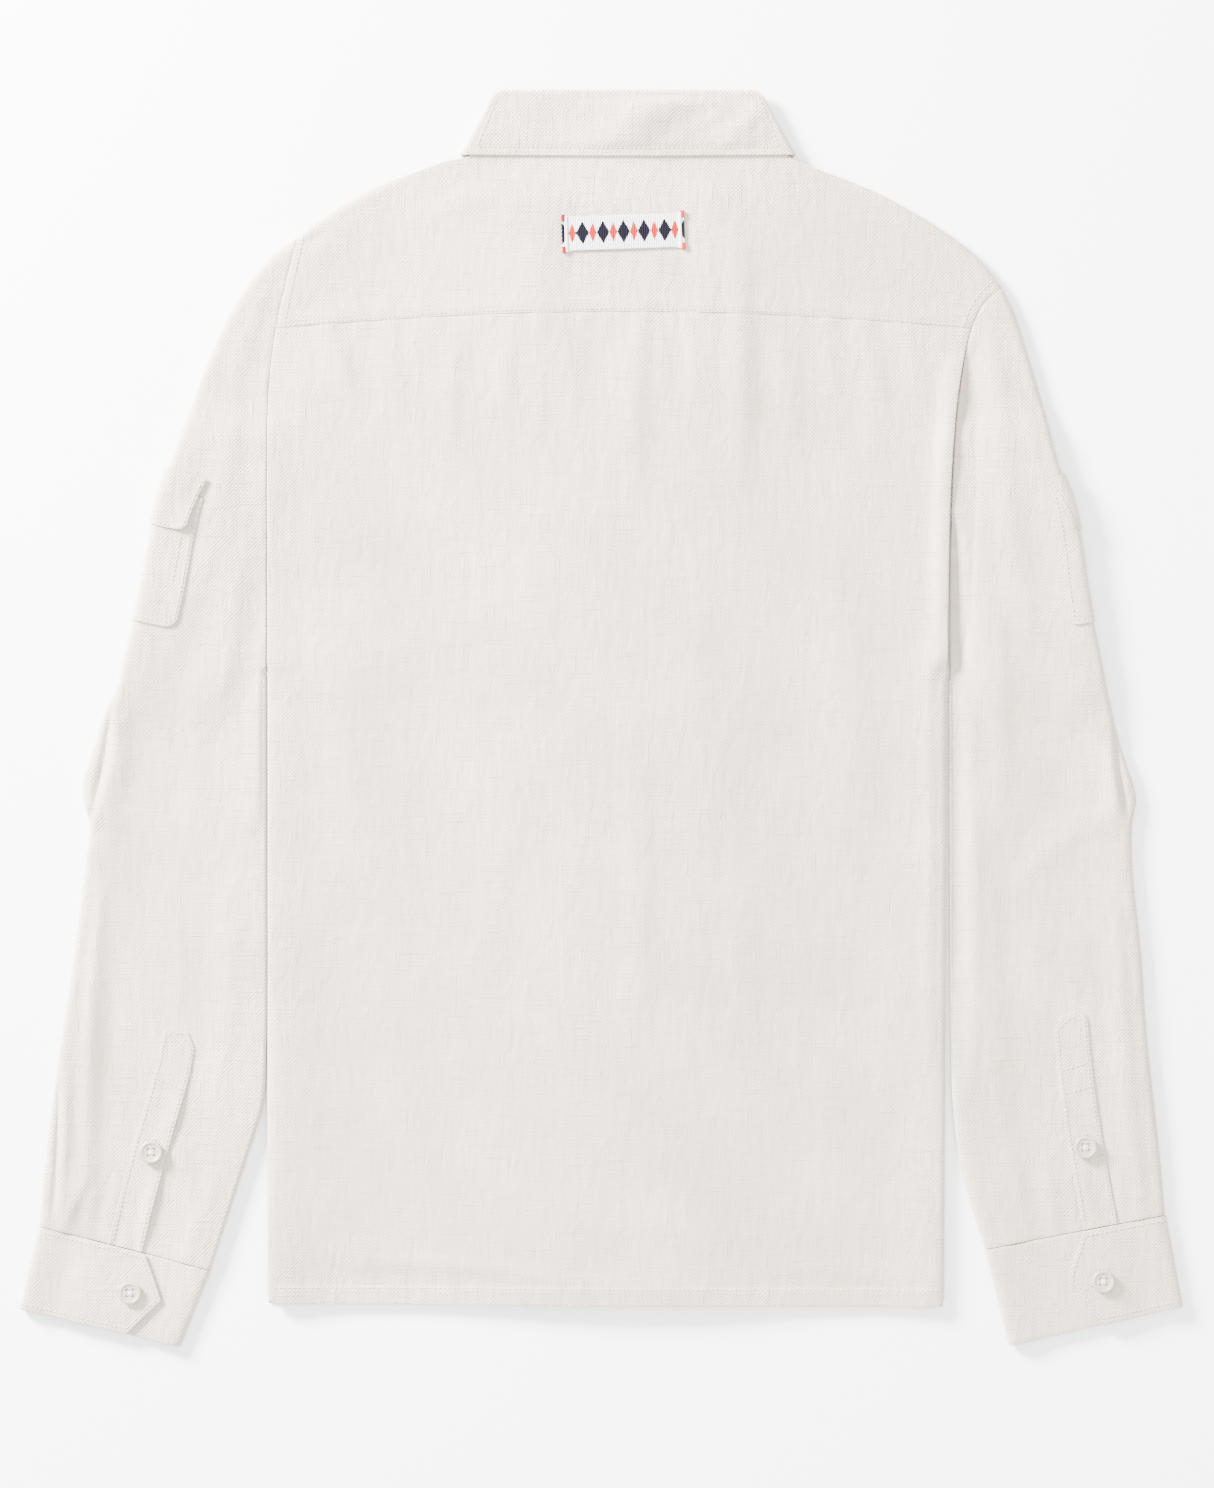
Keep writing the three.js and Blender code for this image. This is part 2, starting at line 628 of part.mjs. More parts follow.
const sleeves = {
  left: sleeveRule(leftSleeve, leftSleeveFolds),
  right: sleeveRule(rightSleeve, rightSleeveFolds),
};
const sleeveRing = foldStations(sleeveWidth, 4);

for (const [key, sleeve] of Object.entries(sleeves)) {
  addMesh(shirt, key + "_sleeve", wallGeometry({
    surface: sleeve.around,
    across: [...sleeveRing, ...sleeveRing.map((share) => 2 + share)],
    along: evenly(17),
    thickness: clothThickness,
    ring: true,
  }), cloth);
}

// Pockets and flaps: patches that wrap the outer fold of a sleeve, moved out from it.
function addWrappedPatch(name, sleeve, size, layer) {
  const start = shareAtY(sleeve.outer, size.topY);
  const end = shareAtY(sleeve.outer, size.bottomY);
  const besideFold = [0.9, 2.3, 4.5]; // distances from the fold where its round edge is followed
  const underneath = [1, 0.66, 0.33].map((share) => -share * size.below);
  const onTop = [mix(besideFold[2], size.above, 0.5), size.above];
  const across = [...underneath, ...besideFold.map((away) => -away).reverse(), 0, ...besideFold, ...onTop];
  const offset = layer * (clothThickness + patchGap);
  addMesh(shirt, name, wallGeometry({
    surface: (signed, along) => {
      const reach = signed > 0 ? size.above : size.below;
      const rounded = size.cornerDrop * smooth(along, 0.6, 1) * smooth(Math.abs(signed), 0.6 * reach, reach);
      return sleeve.wrapped(signed - Math.sign(signed) * rounded, mix(start, end, along));
    },
    across,
    along: evenly(size.rows),
    thickness: clothThickness,
    lift: sleeve.side * offset,
  }), cloth);
}

addWrappedPatch("left_pocket", sleeves.left,
  { topY: 142, bottomY: 62, above: 26, below: 57, cornerDrop: 5, rows: 5 }, 1);
addWrappedPatch("right_pocket", sleeves.right,
  { topY: 142, bottomY: 60, above: 12, below: 64, cornerDrop: 3, rows: 5 }, 1);
addWrappedPatch("left_flap", sleeves.left,
  { topY: 155, bottomY: 121, above: 29, below: 57, cornerDrop: 7, rows: 4 }, 2);
addWrappedPatch("right_flap", sleeves.right,
  { topY: 152, bottomY: 117, above: 13, below: 65, cornerDrop: 4, rows: 4 }, 2);

// Cuffs

const cuffSpacing = cuffThickness + 0.6;
const cuffWidth = 108;
const cuffFold = { spacing: 4.2, radius: 5, reach: 14 };
const cuffOverlap = cuffThickness + 0.4;
const underlapEnd = 0.4; // share across the top where the hidden end stops
const overlapRamp = { start: 0.14, end: 0.38 }; // shares over which the pointed end climbs over it

const cuffs = {
  left: {
    side: -1,
    seamOuter: [-348, -314.5], seamInner: [-243, -341.5], edgeOuter: [-360, -365.5], edgeInner: [-262, -388.5],
    overlapAtSeam: 0.62, overlapAtPoint: 0.8, overlapAtEdge: 0.67, pointAt: 0.5,
    button: [-292, -355],
  },
  right: {
    side: 1,
    seamOuter: [348.5, -307.5], seamInner: [238, -328.5], edgeOuter: [359, -364], edgeInner: [253, -388],
    overlapAtSeam: 0.46, overlapAtPoint: 0.6, overlapAtEdge: 0.47, pointAt: 0.45,
    button: [310, -348],
  },
};

function cuffPlan(cuff, share, along) {
  const corner = ([x, y]) => new THREE.Vector3(x, y, 0);
  const seam = corner(cuff.seamOuter).lerp(corner(cuff.seamInner), share);
  return seam.lerp(corner(cuff.edgeOuter).lerp(corner(cuff.edgeInner), share), along);
}

function cuffHeights(share) {
  const fromFold = Math.min(share, 1 - share) * cuffWidth;
  const inner = Math.max(fromFold, cuffFold.radius);
  const puff = (cuffFold.spacing - cuffSpacing) * Math.exp(-(((inner - cuffFold.radius) / cuffFold.reach) ** 2));
  const spacing = cuffSpacing + puff;
  const base = cuffThickness / 2;
  if (fromFold >= cuffFold.radius) return { low: base, high: base + spacing };
  const rise = Math.sqrt(Math.max(0, 1 - (1 - fromFold / cuffFold.radius) ** 2));
  return { low: base + (spacing / 2) * (1 - rise), high: base + (spacing / 2) * (1 + rise) };
}

function overlapEndShare(cuff, along) {
  if (along < cuff.pointAt) return mix(cuff.overlapAtSeam, cuff.overlapAtPoint, along / cuff.pointAt);
  return mix(cuff.overlapAtPoint, cuff.overlapAtEdge, (along - cuff.pointAt) / (1 - cuff.pointAt));
}

// Across runs 0 to 1 from the pointed end to the outer fold, 2 to 3 along the underside to
// the inner fold, and 4 to 5 back over the top to the end that the pointed one covers.
function cuffSurface(cuff) {
  return (across, along) => {
    const step = across % 2;
    let share = step;
    if (across <= 1) share = overlapEndShare(cuff, along) * (1 - step);
    else if (across >= 4) share = 1 - (1 - underlapEnd) * step;
    const point = cuffPlan(cuff, share, along);
    const { low, high } = cuffHeights(share);
    point.z = across >= 2 && across <= 3 ? low : high;
    if (across <= 1) point.z += cuffOverlap * smooth(share, overlapRamp.start, overlapRamp.end);
    return point;
  };
}

const cuffTop = [0, 0.2, 0.38, 0.52, 0.68, 0.84, 0.93, 0.975, 1];
const cuffUnder = [0, 0.012, 0.046, 0.3, 0.6, 0.954, 0.988, 1].map((share) => 2 + share);
const cuffBack = [0, 0.02, 0.076, 0.3, 0.6, 1].map((share) => 4 + share);

for (const [key, cuff] of Object.entries(cuffs)) {
  addMesh(shirt, key + "_cuff", wallGeometry({
    surface: cuffSurface(cuff),
    across: [...cuffTop, ...cuffUnder, ...cuffBack],
    along: [0, 0.25, cuff.pointAt, 0.75, 1],
    thickness: cuffThickness,
  }), cloth);
}

// Sleeve plackets: strips on the top of each sleeve, from the cuff seam up.
const plackets = {
  left: { width: 22, centreAtCuff: 0.5, centreAtTop: 0.56, topAlong: 0.77, button: [-279, -268] },
  right: { width: 22, centreAtCuff: 0.36, centreAtTop: 0.38, topAlong: 0.77, button: [299, -265] },
};

const placketTip = { width: 0.55, growth: 7 }; // the top end starts narrower and soon widens

for (const [key, placket] of Object.entries(plackets)) {
  const sleeve = sleeves[key];
  addMesh(shirt, key + "_placket", wallGeometry({
    surface: (share, along) => {
      const down = mix(placket.topAlong, 1, along);
      const centre = mix(placket.centreAtTop, placket.centreAtCuff, along);
      const width = sleeve.top(0, down).distanceTo(sleeve.top(1, down));
      const narrowing = Math.min(1, placketTip.width + along * placketTip.growth);
      return sleeve.top(centre + ((share - 0.5) * placket.width * narrowing) / width, down);
    },
    across: [0, 0.33, 0.67, 1],
    along: [0, 0.03, 0.065, 0.15, 0.3, 0.45, 0.6, 0.75, 0.88, 1],
    thickness: clothThickness,
    lift: sleeve.side * (clothThickness + patchGap),
  }), cloth);
}

// Woven tape on the yoke, sewn down at its two ends.
const tape = { middle: [13, 301], length: 76, width: 21, turn: THREE.MathUtils.degToRad(2), thickness: 1 };

addMesh(shirt, "loop_tape", wallGeometry({
  surface: (across, along) => {
    const point = new THREE.Vector3((across - 0.5) * tape.length, (0.5 - along) * tape.width, 0);
    point.applyAxisAngle(new THREE.Vector3(0, 0, 1), tape.turn);
    point.x += tape.middle[0];
    point.y += tape.middle[1];
    point.z = bodyLayers(point.x, point.y).high;
    return point;
  },
  across: evenly(8),
  along: [0, 0.5, 1],
  thickness: tape.thickness,
  lift: -(clothThickness / 2 + layerGap + tape.thickness / 2),
}), ribbon);

// Buttons: flat discs with four holes.
function buttonGeometry() {
  const outline = new THREE.Shape();
  outline.absarc(0, 0, buttonDiameter / 2, 0, 2 * Math.PI, false);
  for (const quarter of [0, 1, 2, 3]) {
    const angle = Math.PI / 4 + (quarter * Math.PI) / 2;
    const hole = new THREE.Path();
    const x = holeSpacing * Math.cos(angle);
    const y = holeSpacing * Math.sin(angle);
    hole.setFromPoints([0, 1, 2, 3].map((n) => new THREE.Vector2(
      x + (buttonHole / 2) * Math.cos((n * Math.PI) / 2),
      y + (buttonHole / 2) * Math.sin((n * Math.PI) / 2),
    )));
    outline.holes.push(hole);
  }
  return new THREE.ExtrudeGeometry(outline, { depth: buttonThickness, bevelEnabled: false, curveSegments: 7 });
}

function addButton(name, [x, y], z) {
  addMesh(shirt, name, buttonGeometry(), shell).position.set(x, y, z);
}

for (const [key, cuff] of Object.entries(cuffs)) {
  const high = cuffHeights(0.5).high + cuffOverlap + cuffThickness / 2;
  addButton(key + "_cuff_button", cuff.button, high + layerGap);
  const [x, y] = plackets[key].button;
  const placketTop = sleeves[key].layers(x, y).high + 1.5 * clothThickness + 1.5 * patchGap;
  addButton(key + "_placket_button", plackets[key].button, placketTop + layerGap);
}

const frontButtons = [294, 236, 146, 56, -34, -124, -214];
frontButtons.forEach((y, row) => addButton("front_button_" + (row + 1), [centreX, y], 0));

export default shirt;
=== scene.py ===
import math

import bpy
import numpy as np
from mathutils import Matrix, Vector


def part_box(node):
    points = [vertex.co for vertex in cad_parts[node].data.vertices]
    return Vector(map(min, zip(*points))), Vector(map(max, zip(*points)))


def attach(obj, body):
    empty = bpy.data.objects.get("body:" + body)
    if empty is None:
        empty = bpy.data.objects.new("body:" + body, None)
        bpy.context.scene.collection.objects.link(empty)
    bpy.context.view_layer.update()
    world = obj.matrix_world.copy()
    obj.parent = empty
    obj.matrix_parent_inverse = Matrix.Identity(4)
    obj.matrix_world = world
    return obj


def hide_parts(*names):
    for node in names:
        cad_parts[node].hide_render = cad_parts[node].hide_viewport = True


# A linen overshirt laid flat on its front, seen from above with its back up.
# All sizes below are millimetres in the frame's own axes; meshes are written in metres.

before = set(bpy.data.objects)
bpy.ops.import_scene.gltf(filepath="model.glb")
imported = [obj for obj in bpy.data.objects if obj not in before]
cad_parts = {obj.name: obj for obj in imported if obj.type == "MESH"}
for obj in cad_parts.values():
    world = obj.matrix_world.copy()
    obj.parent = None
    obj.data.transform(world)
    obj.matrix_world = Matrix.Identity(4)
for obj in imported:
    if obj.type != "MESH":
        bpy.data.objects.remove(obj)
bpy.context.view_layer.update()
mm = 0.001

print("stage 1: camera, floor and light")

view = {
    "photoHeight": 1488,     # pixels of the photograph
    "pixel": 0.62,           # millimetres of the shirt for each pixel
    "middle": (3.0, -15.5),  # what lies at the middle of the photograph
    "distance": 3000.0, "sensor": 36.0,
}
frameHeight = view["photoHeight"] * view["pixel"]
cameraData = bpy.data.cameras.new("camera")
cameraData.sensor_fit = "VERTICAL"
cameraData.sensor_height = view["sensor"]
cameraData.lens = view["sensor"] * view["distance"] / frameHeight
camera = bpy.data.objects.new("camera", cameraData)
camera.location = (view["middle"][0] * mm, view["middle"][1] * mm, view["distance"] * mm)
bpy.context.scene.collection.objects.link(camera)
bpy.context.scene.camera = camera


# One colour, from an sRGB hex code to linear values with an alpha of one
def linear(code):
    parts = [int(code[i:i + 2], 16) / 255 for i in (1, 3, 5)]
    return [c / 12.92 if c <= 0.04045 else ((c + 0.055) / 1.055) ** 2.4 for c in parts] + [1.0]


# Gives an input a value, a hex colour, or a link from a socket or from a node's first output
def feed(tree, target, term):
    if isinstance(term, bpy.types.Node):
        term = term.outputs[0]
    if isinstance(term, bpy.types.NodeSocket):
        tree.links.new(term, target)
    else:
        target.default_value = linear(term) if isinstance(term, str) else term


# Adds a node; its settings are named by property or by input, or numbered by input
def addNode(tree, kind, settings):
    node = tree.nodes.new("ShaderNode" + kind)
    for key, term in settings.items():
        if isinstance(key, int) or key in node.inputs:
            feed(tree, node.inputs[key], term)
        else:
            setattr(node, key, term)
    return node


def calc(tree, operation, *terms):
    return addNode(tree, "Math", {"operation": operation, **dict(enumerate(terms))})


def blend(tree, share, low, high):
    return addNode(tree, "Mix", {"data_type": "RGBA", 0: share, 6: low, 7: high}).outputs[2]


def newMaterial(name, settings):
    material = bpy.data.materials.new(name)
    material.use_nodes = True
    tree = material.node_tree
    shader = tree.nodes["Principled BSDF"]
    for key, term in settings.items():
        feed(tree, shader.inputs[key], term)
    return material, tree, shader


# One object from corners in millimetres and faces
def meshPiece(name, corners, faces, material):
    mesh = bpy.data.meshes.new(name)
    mesh.from_pydata((np.asarray(corners) * mm).tolist(), [], faces)
    mesh.polygons.foreach_set("use_smooth", np.ones(len(mesh.polygons), bool))
    mesh.materials.append(material)
    piece = bpy.data.objects.new(name, mesh)
    bpy.context.scene.collection.objects.link(piece)
    return piece


# Floor: matt seamless paper, a smooth even white with no grain.
floorLook = {"size": 9000.0, "below": 0.2,  # below: how far it lies under the cloth
             "paper": {"Base Color": "#fbfbfa", "Roughness": 0.9, "Specular IOR Level": 0.2}}
half = floorLook["size"] / 2
ways = ((-1, -1), (1, -1), (1, 1), (-1, 1))
corners = [(x * half, y * half, -floorLook["below"]) for x, y in ways]
floorMaterial = newMaterial("seamless white paper", floorLook["paper"])[0]
floor = meshPiece("floor", corners, [(0, 1, 2, 3)], floorMaterial)

lights = [
    # name, place in metres, size in metres, power in watts: a key from the upper left
    ("key", (-2.0, 1.5, 1.0), 0.7, 980),
    ("fill", (1.8, -1.2, 2.2), 2.4, 80),
    ("above", (0.0, 0.0, 3.6), 3.0, 170),
]
for name, spot, size, power in lights:
    data = bpy.data.lights.new(name, "AREA")
    data.shape = "SQUARE"
    data.size = size
    data.energy = power
    lamp = bpy.data.objects.new(name, data)
    lamp.location = spot
    lamp.rotation_euler = (-Vector(spot)).to_track_quat("-Z", "Y").to_euler()
    bpy.context.scene.collection.objects.link(lamp)

sky = {"Color": "#f3f5f8", "Strength": 2.6}
world = bpy.data.worlds.new("studio")
world.use_nodes = True
for key, term in sky.items():
    feed(world.node_tree, world.node_tree.nodes["Background"].inputs[key], term)
bpy.context.scene.world = world

print("stage 2: materials")

weave = {
    "thread": 1.15,  # spacing drawn, twice the real 0.55 mm, which would not show at this size
    "threadDepth": 0.16, "wander": 1.2, "wanderScale": 140.0,  # how far and how quickly threads wander
    "slubLong": 26.0, "slubThin": 0.9, "slubDepth": 0.22, "slubFrom": 0.56, "slubTo": 0.78, "slubShare": 0.55,
    "cloudScale": 16.0, "cloudFrom": 0.35, "cloudTo": 0.68,
    "crumpleAcross": 7.0, "crumpleAlong": 19.0, "crumpleDepth": 1.0,
    "light": "#c2b4a6", "dark": "#b8a99b", "slub": "#a7988a",
    "surface": {"Roughness": 0.88, "IOR": 1.53, "Specular IOR Level": 0.25, "Sheen Weight": 0.12,
                "Sheen Roughness": 0.5},
}


# Noise stretched to two lengths in millimetres
def stretchedNoise(tree, place, across, along, settings):
    scale = (1 / (across * mm), 1 / (along * mm), 1.0)
    mapped = addNode(tree, "Mapping", {"Scale": scale, "Vector": place})
    return addNode(tree, "TexNoise", {"Scale": 1.0, "Vector": mapped, **settings})


# Washed plain-woven linen: matt, with uneven threads, darker slubs and a fine crumple
def linenMaterial():
    w = weave
    material, tree, shader = newMaterial("washed plain-woven linen", w["surface"])
    uv = addNode(tree, "UVMap", {"uv_map": "cloth"})
    wander = addNode(tree, "TexNoise", {"Scale": w["wanderScale"], "Detail": 2.0, "Vector": uv})
    centred = addNode(tree, "VectorMath", {"operation": "SUBTRACT", 0: wander.outputs["Color"],
                                           1: (0.5, 0.5, 0.5)})
    shift = addNode(tree, "VectorMath", {"operation": "SCALE", 0: centred, "Scale": w["wander"] * mm})
    bent = addNode(tree, "VectorMath", {"operation": "ADD", 0: uv, 1: shift})
    phase = addNode(tree, "VectorMath", {"operation": "SCALE", 0: bent,
                                         "Scale": math.pi / (w["thread"] * mm)})
    parts = addNode(tree, "SeparateXYZ", {"Vector": phase})
    # the weave goes over and under as sin(x) * sin(y)
    waves = [calc(tree, "SINE", parts.outputs[axis]) for axis in "XY"]
    overUnder = calc(tree, "MULTIPLY", *waves)

    # slubs: thick stretches of thread, long one way and thin the other, in both directions
    slubs = []
    for across, along in ((w["slubLong"], w["slubThin"]), (w["slubThin"], w["slubLong"])):
        noise = stretchedNoise(tree, bent, across, along, {"Detail": 1.0})
        slubs.append(addNode(tree, "MapRange", {"From Min": w["slubFrom"], "From Max": w["slubTo"],
                                                "Value": noise}))
    slub = calc(tree, "MAXIMUM", *slubs)

    cloud = addNode(tree, "TexNoise", {"Scale": w["cloudScale"], "Detail": 3.0, "Vector": uv})
    cloudShare = addNode(tree, "MapRange", {"From Min": w["cloudFrom"], "From Max": w["cloudTo"],
                                            "Value": cloud})
    tone = blend(tree, cloudShare, w["light"], w["dark"])
    colour = blend(tree, calc(tree, "MULTIPLY", slub, w["slubShare"]), tone, w["slub"])
    feed(tree, shader.inputs["Base Color"], colour)

    crumpled = stretchedNoise(tree, uv, w["crumpleAcross"], w["crumpleAlong"],
                              {"Detail": 4.0, "Roughness": 0.5, "Distortion": 0.6})
    folded = addNode(tree, "Bump", {"Strength": 1.0, "Distance": w["crumpleDepth"] * mm, "Height": crumpled})
    raised = calc(tree, "MULTIPLY_ADD", slub, w["slubDepth"] / w["threadDepth"], overUnder)
    woven = addNode(tree, "Bump", {"Strength": 1.0, "Distance": w["threadDepth"] * mm, "Height": raised,
                                   "Normal": folded})
    feed(tree, shader.inputs["Normal"], woven)
    return material


linen = linenMaterial()

# Cotton sewing thread: a touch yellower and smoother than the cloth.
threadLook = {"Roughness": 0.7, "Sheen Weight": 0.2}
threadMaterial, threadTree, threadShader = newMaterial("cotton sewing thread", threadLook)
threadPlace = addNode(threadTree, "TexCoord", {}).outputs["Object"]
threadNoise = addNode(threadTree, "TexNoise", {"Scale": 900.0, "Vector": threadPlace})
feed(threadTree, threadShader.inputs["Base Color"], blend(threadTree, threadNoise, "#c9bfb3", "#b9aea1"))

# Pale shell-like polyester: smooth and moulded, with a soft cloudy grain.
shellLook = {"Roughness": 0.32, "IOR": 1.55, "Coat Weight": 0.15}
shellMaterial, shellTree, shellShader = newMaterial("pale shell polyester", shellLook)
shellPlace = addNode(shellTree, "TexCoord", {}).outputs["Object"]
shellMapped = addNode(shellTree, "Mapping", {"Scale": (160.0, 420.0, 160.0), "Vector": shellPlace})
shellCloud = addNode(shellTree, "TexNoise", {"Scale": 1.0, "Detail": 3.0, "Vector": shellMapped})
feed(shellTree, shellShader.inputs["Base Color"], blend(shellTree, shellCloud, "#978b7d", "#b6aa9c"))

print("stage 3: outlines and height rules")


# Zero below low, one above high, an S-shaped rise between
def smoothstep(value, low, high):
    share = np.clip((value - low) / (high - low), 0, 1)
    return share * share * (3 - 2 * share)


def mix(a, b, share):
    return a + (b - a) * share


def bell(distance, width):
    return np.exp(-(distance / width) ** 2)


# A quarter round, from zero at a fold to one at a share of one
def roundEdge(share):
    return np.sqrt(np.clip(1 - (1 - np.minimum(share, 1)) ** 2, 0, 1))


# How far a round corner draws an edge in, by the distance from the corner
def cornerDrop(distance, radius):
    toCorner = radius - np.clip(distance, 0, radius)
    return radius - np.sqrt(radius ** 2 - toCorner ** 2)


# depth, wave, drift and slow wave of the puckers and waves that ripple draws
puckers = {
    "hem": (0.16, 3.1, 1.7, 17.0), "belowYoke": (0.22, 4.2, 2.1, 23.0), "yoke": (0.12, 4.6, 1.9, 19.0),
    "armhole": (0.15, 3.7, 1.6, 15), "leaf": (0.1, 3.4, 1.5, 13), "leafWave": (0.35, 21, 1.3, 37),
}


# depth * sin(x / wave + drift * sin(x / slow)): a wave whose length drifts, so that no two crests are alike
def ripple(x, depth, wave, drift, slow):
    return depth * np.sin(x / wave + drift * np.sin(x / slow))


# A smooth line through points of the plan: a centripetal Catmull-Rom curve by length
class Outline:
    def __init__(self, points, steps=60):
        given = np.array(points, float)
        ends = np.vstack([2 * given[0] - given[1], given, 2 * given[-1] - given[-2]])
        share = np.linspace(0, 1, 33)[:, None]
        spans = []
        for before, start, stop, after in zip(ends[:-3], ends[1:-2], ends[2:-1], ends[3:]):
            chords = (start - before, stop - start, after - stop)
            p, q, r = (max(np.hypot(*chord) ** 0.5, 1e-4) for chord in chords)
            leave = ((start - before) / p - (stop - before) / (p + q) + (stop - start) / q) * q
            reach = ((stop - start) / q - (after - start) / (q + r) + (after - stop) / r) * q
            cubic = (start + leave * share + (3 * (stop - start) - 2 * leave - reach) * share ** 2
                     + (2 * (start - stop) + leave + reach) * share ** 3)
            spans.append(cubic[:-1])
        self.dense = np.vstack(spans + [given[-1:]])
        walked = np.concatenate([[0], np.cumsum(np.hypot(*np.diff(self.dense, axis=0).T))])
        self.length = walked[-1]
        self.shares = walked / walked[-1]
        self.line = self.at(np.linspace(0, 1, steps + 1))

    def at(self, share):
        share = np.clip(share, 0, 1)
        return np.stack([np.interp(share, self.shares, self.dense[:, k]) for k in (0, 1)], axis=-1)

    def shareAtY(self, y):
        return float(np.interp(-y, -self.dense[:, 1], self.shares))

    def distance(self, x, y):
        return stretchDistance(self.line, x, y)


# Distance in the plan from each point to the nearest stretch of a polyline
def stretchDistance(line, x, y):
    nearest = np.full(np.shape(x), np.inf)
    for (ax, ay), (bx, by) in zip(line[:-1], line[1:]):
        dx, dy = bx - ax, by - ay
        share = np.clip(((x - ax) * dx + (y - ay) * dy) / (dx * dx + dy * dy), 0, 1)
        nearest = np.minimum(nearest, np.hypot(x - ax - share * dx, y - ay - share * dy))
    return nearest


# The sum of soft ridges, or troughs where the height is negative. A row holds x and y of both ends,
# half width, height and bow. A ridge has a bell-shaped section, is bowed sideways, and fades to its ends.
def creaseHeight(table, x, y):
    total = np.zeros(np.shape(x))
    for ax, ay, bx, by, width, height, bow in table:
        dx, dy = bx - ax, by - ay
        long = math.hypot(dx, dy)
        along = ((x - ax) * dx + (y - ay) * dy) / long
        share = np.clip(along / long, 0, 1)
        aside = ((y - ay) * dx - (x - ax) * dy) / long - bow * 4 * share * (1 - share)
        beyond = along - share * long
        fade = 0.35 + 0.65 * np.sin(math.pi * np.clip(share * 0.9 + 0.05, 0, 1)) ** 0.8
        total += height * fade * np.exp(-(aside ** 2 + beyond ** 2 * 0.5) / width ** 2)
    return total


cloth = {"thickness": 1.2, "collar": 1.6, "cuff": 1.8, "patch": 0.9, "patchGap": 0.12, "placket": 0.9}
layers = {"flat": 2.3, "fold": 4.8, "foldReach": 22.0, "radius": 4.5, "tight": 1.6,
          "roundSeam": 0.35, "flatSeam": 0.8}
centreX = 16.0

shoulderPoints = {
    "left": [(-189, 297), (-169, 312), (-153, 322), (-135, 331), (-111, 340), (-97, 345), (-89, 346.4),
             (-83, 348.2), (-80.5, 351.5)],
    "right": [(247, 267), (232, 285), (209, 303), (177, 322), (157, 331), (134, 340), (121, 345.6),
              (115, 348.2), (112.5, 351.5)],
}
armholePoints = {
    "left": [(-189, 297), (-197, 266), (-202, 243), (-206.5, 205), (-207.5, 148), (-207.5, 27)],
    "right": [(247, 267), (236, 257), (229, 243), (221, 205), (216, 148), (213.5, 24)],
}
sidePoints = {
    "left": [(-207, 27), (-207, -150), (-207, -362)],
    "right": [(213, 24), (212.5, -150), (211.5, -364)],
}
shoulders = {key: Outline(points) for key, points in shoulderPoints.items()}
armholes = {key: Outline(points) for key, points in armholePoints.items()}
sides = {key: Outline(points) for key, points in sidePoints.items()}

# what the back lies on: the fronts' strip, raised by its buttons, and the collar's points below the neck;
# spare: how much further apart the two layers are there, broadReach: how far the back spans beside it
strip = {"half": 19, "from": 17, "rise": 3.1, "reach": 40, "spare": 1.6, "spareReach": 45, "broadReach": 125,
         "neckStart": 312, "neckEnd": 350}
collarUnder = {"half": 165, "fade": 50, "low": 160, "high": 215, "rise": 1.9}


def nearCollar(x, y):
    c = collarUnder
    return smoothstep(c["half"] - np.abs(x - centreX), 0, c["fade"]) * smoothstep(y, c["low"], c["high"])


def nearStrip(x, reach):
    return 1 - smoothstep(np.abs(x - centreX), strip["half"], strip["from"] + reach)


def belowNeck(y):
    return 1 - smoothstep(y, strip["neckStart"], strip["neckEnd"])


# The height of the surface that the fronts lie on
def bodyGround(x, y):
    overStrip = strip["rise"] * nearStrip(x, strip["reach"]) * belowNeck(y)
    return np.maximum(overStrip, collarUnder["rise"] * nearCollar(x, y))


# beside an armhole; the reaches are how far from the seam the body and the sleeve come to its height
seamRule = {"bodyReach": {"left": 24.0, "right": 12.0}, "sleeveReach": {"left": 24.0, "right": 4.0},
            "groove": 0.3, "grooveWidth": 1.2, "fromFold": 10.0, "gap": 0.15, "valleyEdge": 0.4}
seamHeights = {}  # one height along each armhole, filled once the sleeves' own rule is known


# Brings a layer to the seam's shared height at the armhole, with a small groove on the line
def joinArmhole(key, reach, x, y, high, fromFold):
    away = armholes[key].distance(x, y)
    share = (1 - smoothstep(away, 0, reach)) * smoothstep(fromFold, 0, seamRule["fromFold"])
    shared = np.interp(-y, *seamHeights[key])
    return mix(high, shared, share) - seamRule["groove"] * bell(away, seamRule["grooveWidth"])


# What the back adds over the fronts' strip: it lies over the strip in one broad, soft rise
def bridge(x, y):
    rise, spare = strip["rise"], strip["spare"]
    broad = nearStrip(x, strip["broadReach"]) * belowNeck(y)
    under = rise * nearStrip(x, strip["reach"]) * belowNeck(y)
    return (rise + spare) * broad - spareOverStrip(x, y) - np.minimum(under, (rise + spare) * broad)


# How much further apart than elsewhere the two layers are over the strip
def spareOverStrip(x, y):
    return strip["spare"] * nearStrip(x, strip["spareReach"]) * belowNeck(y)


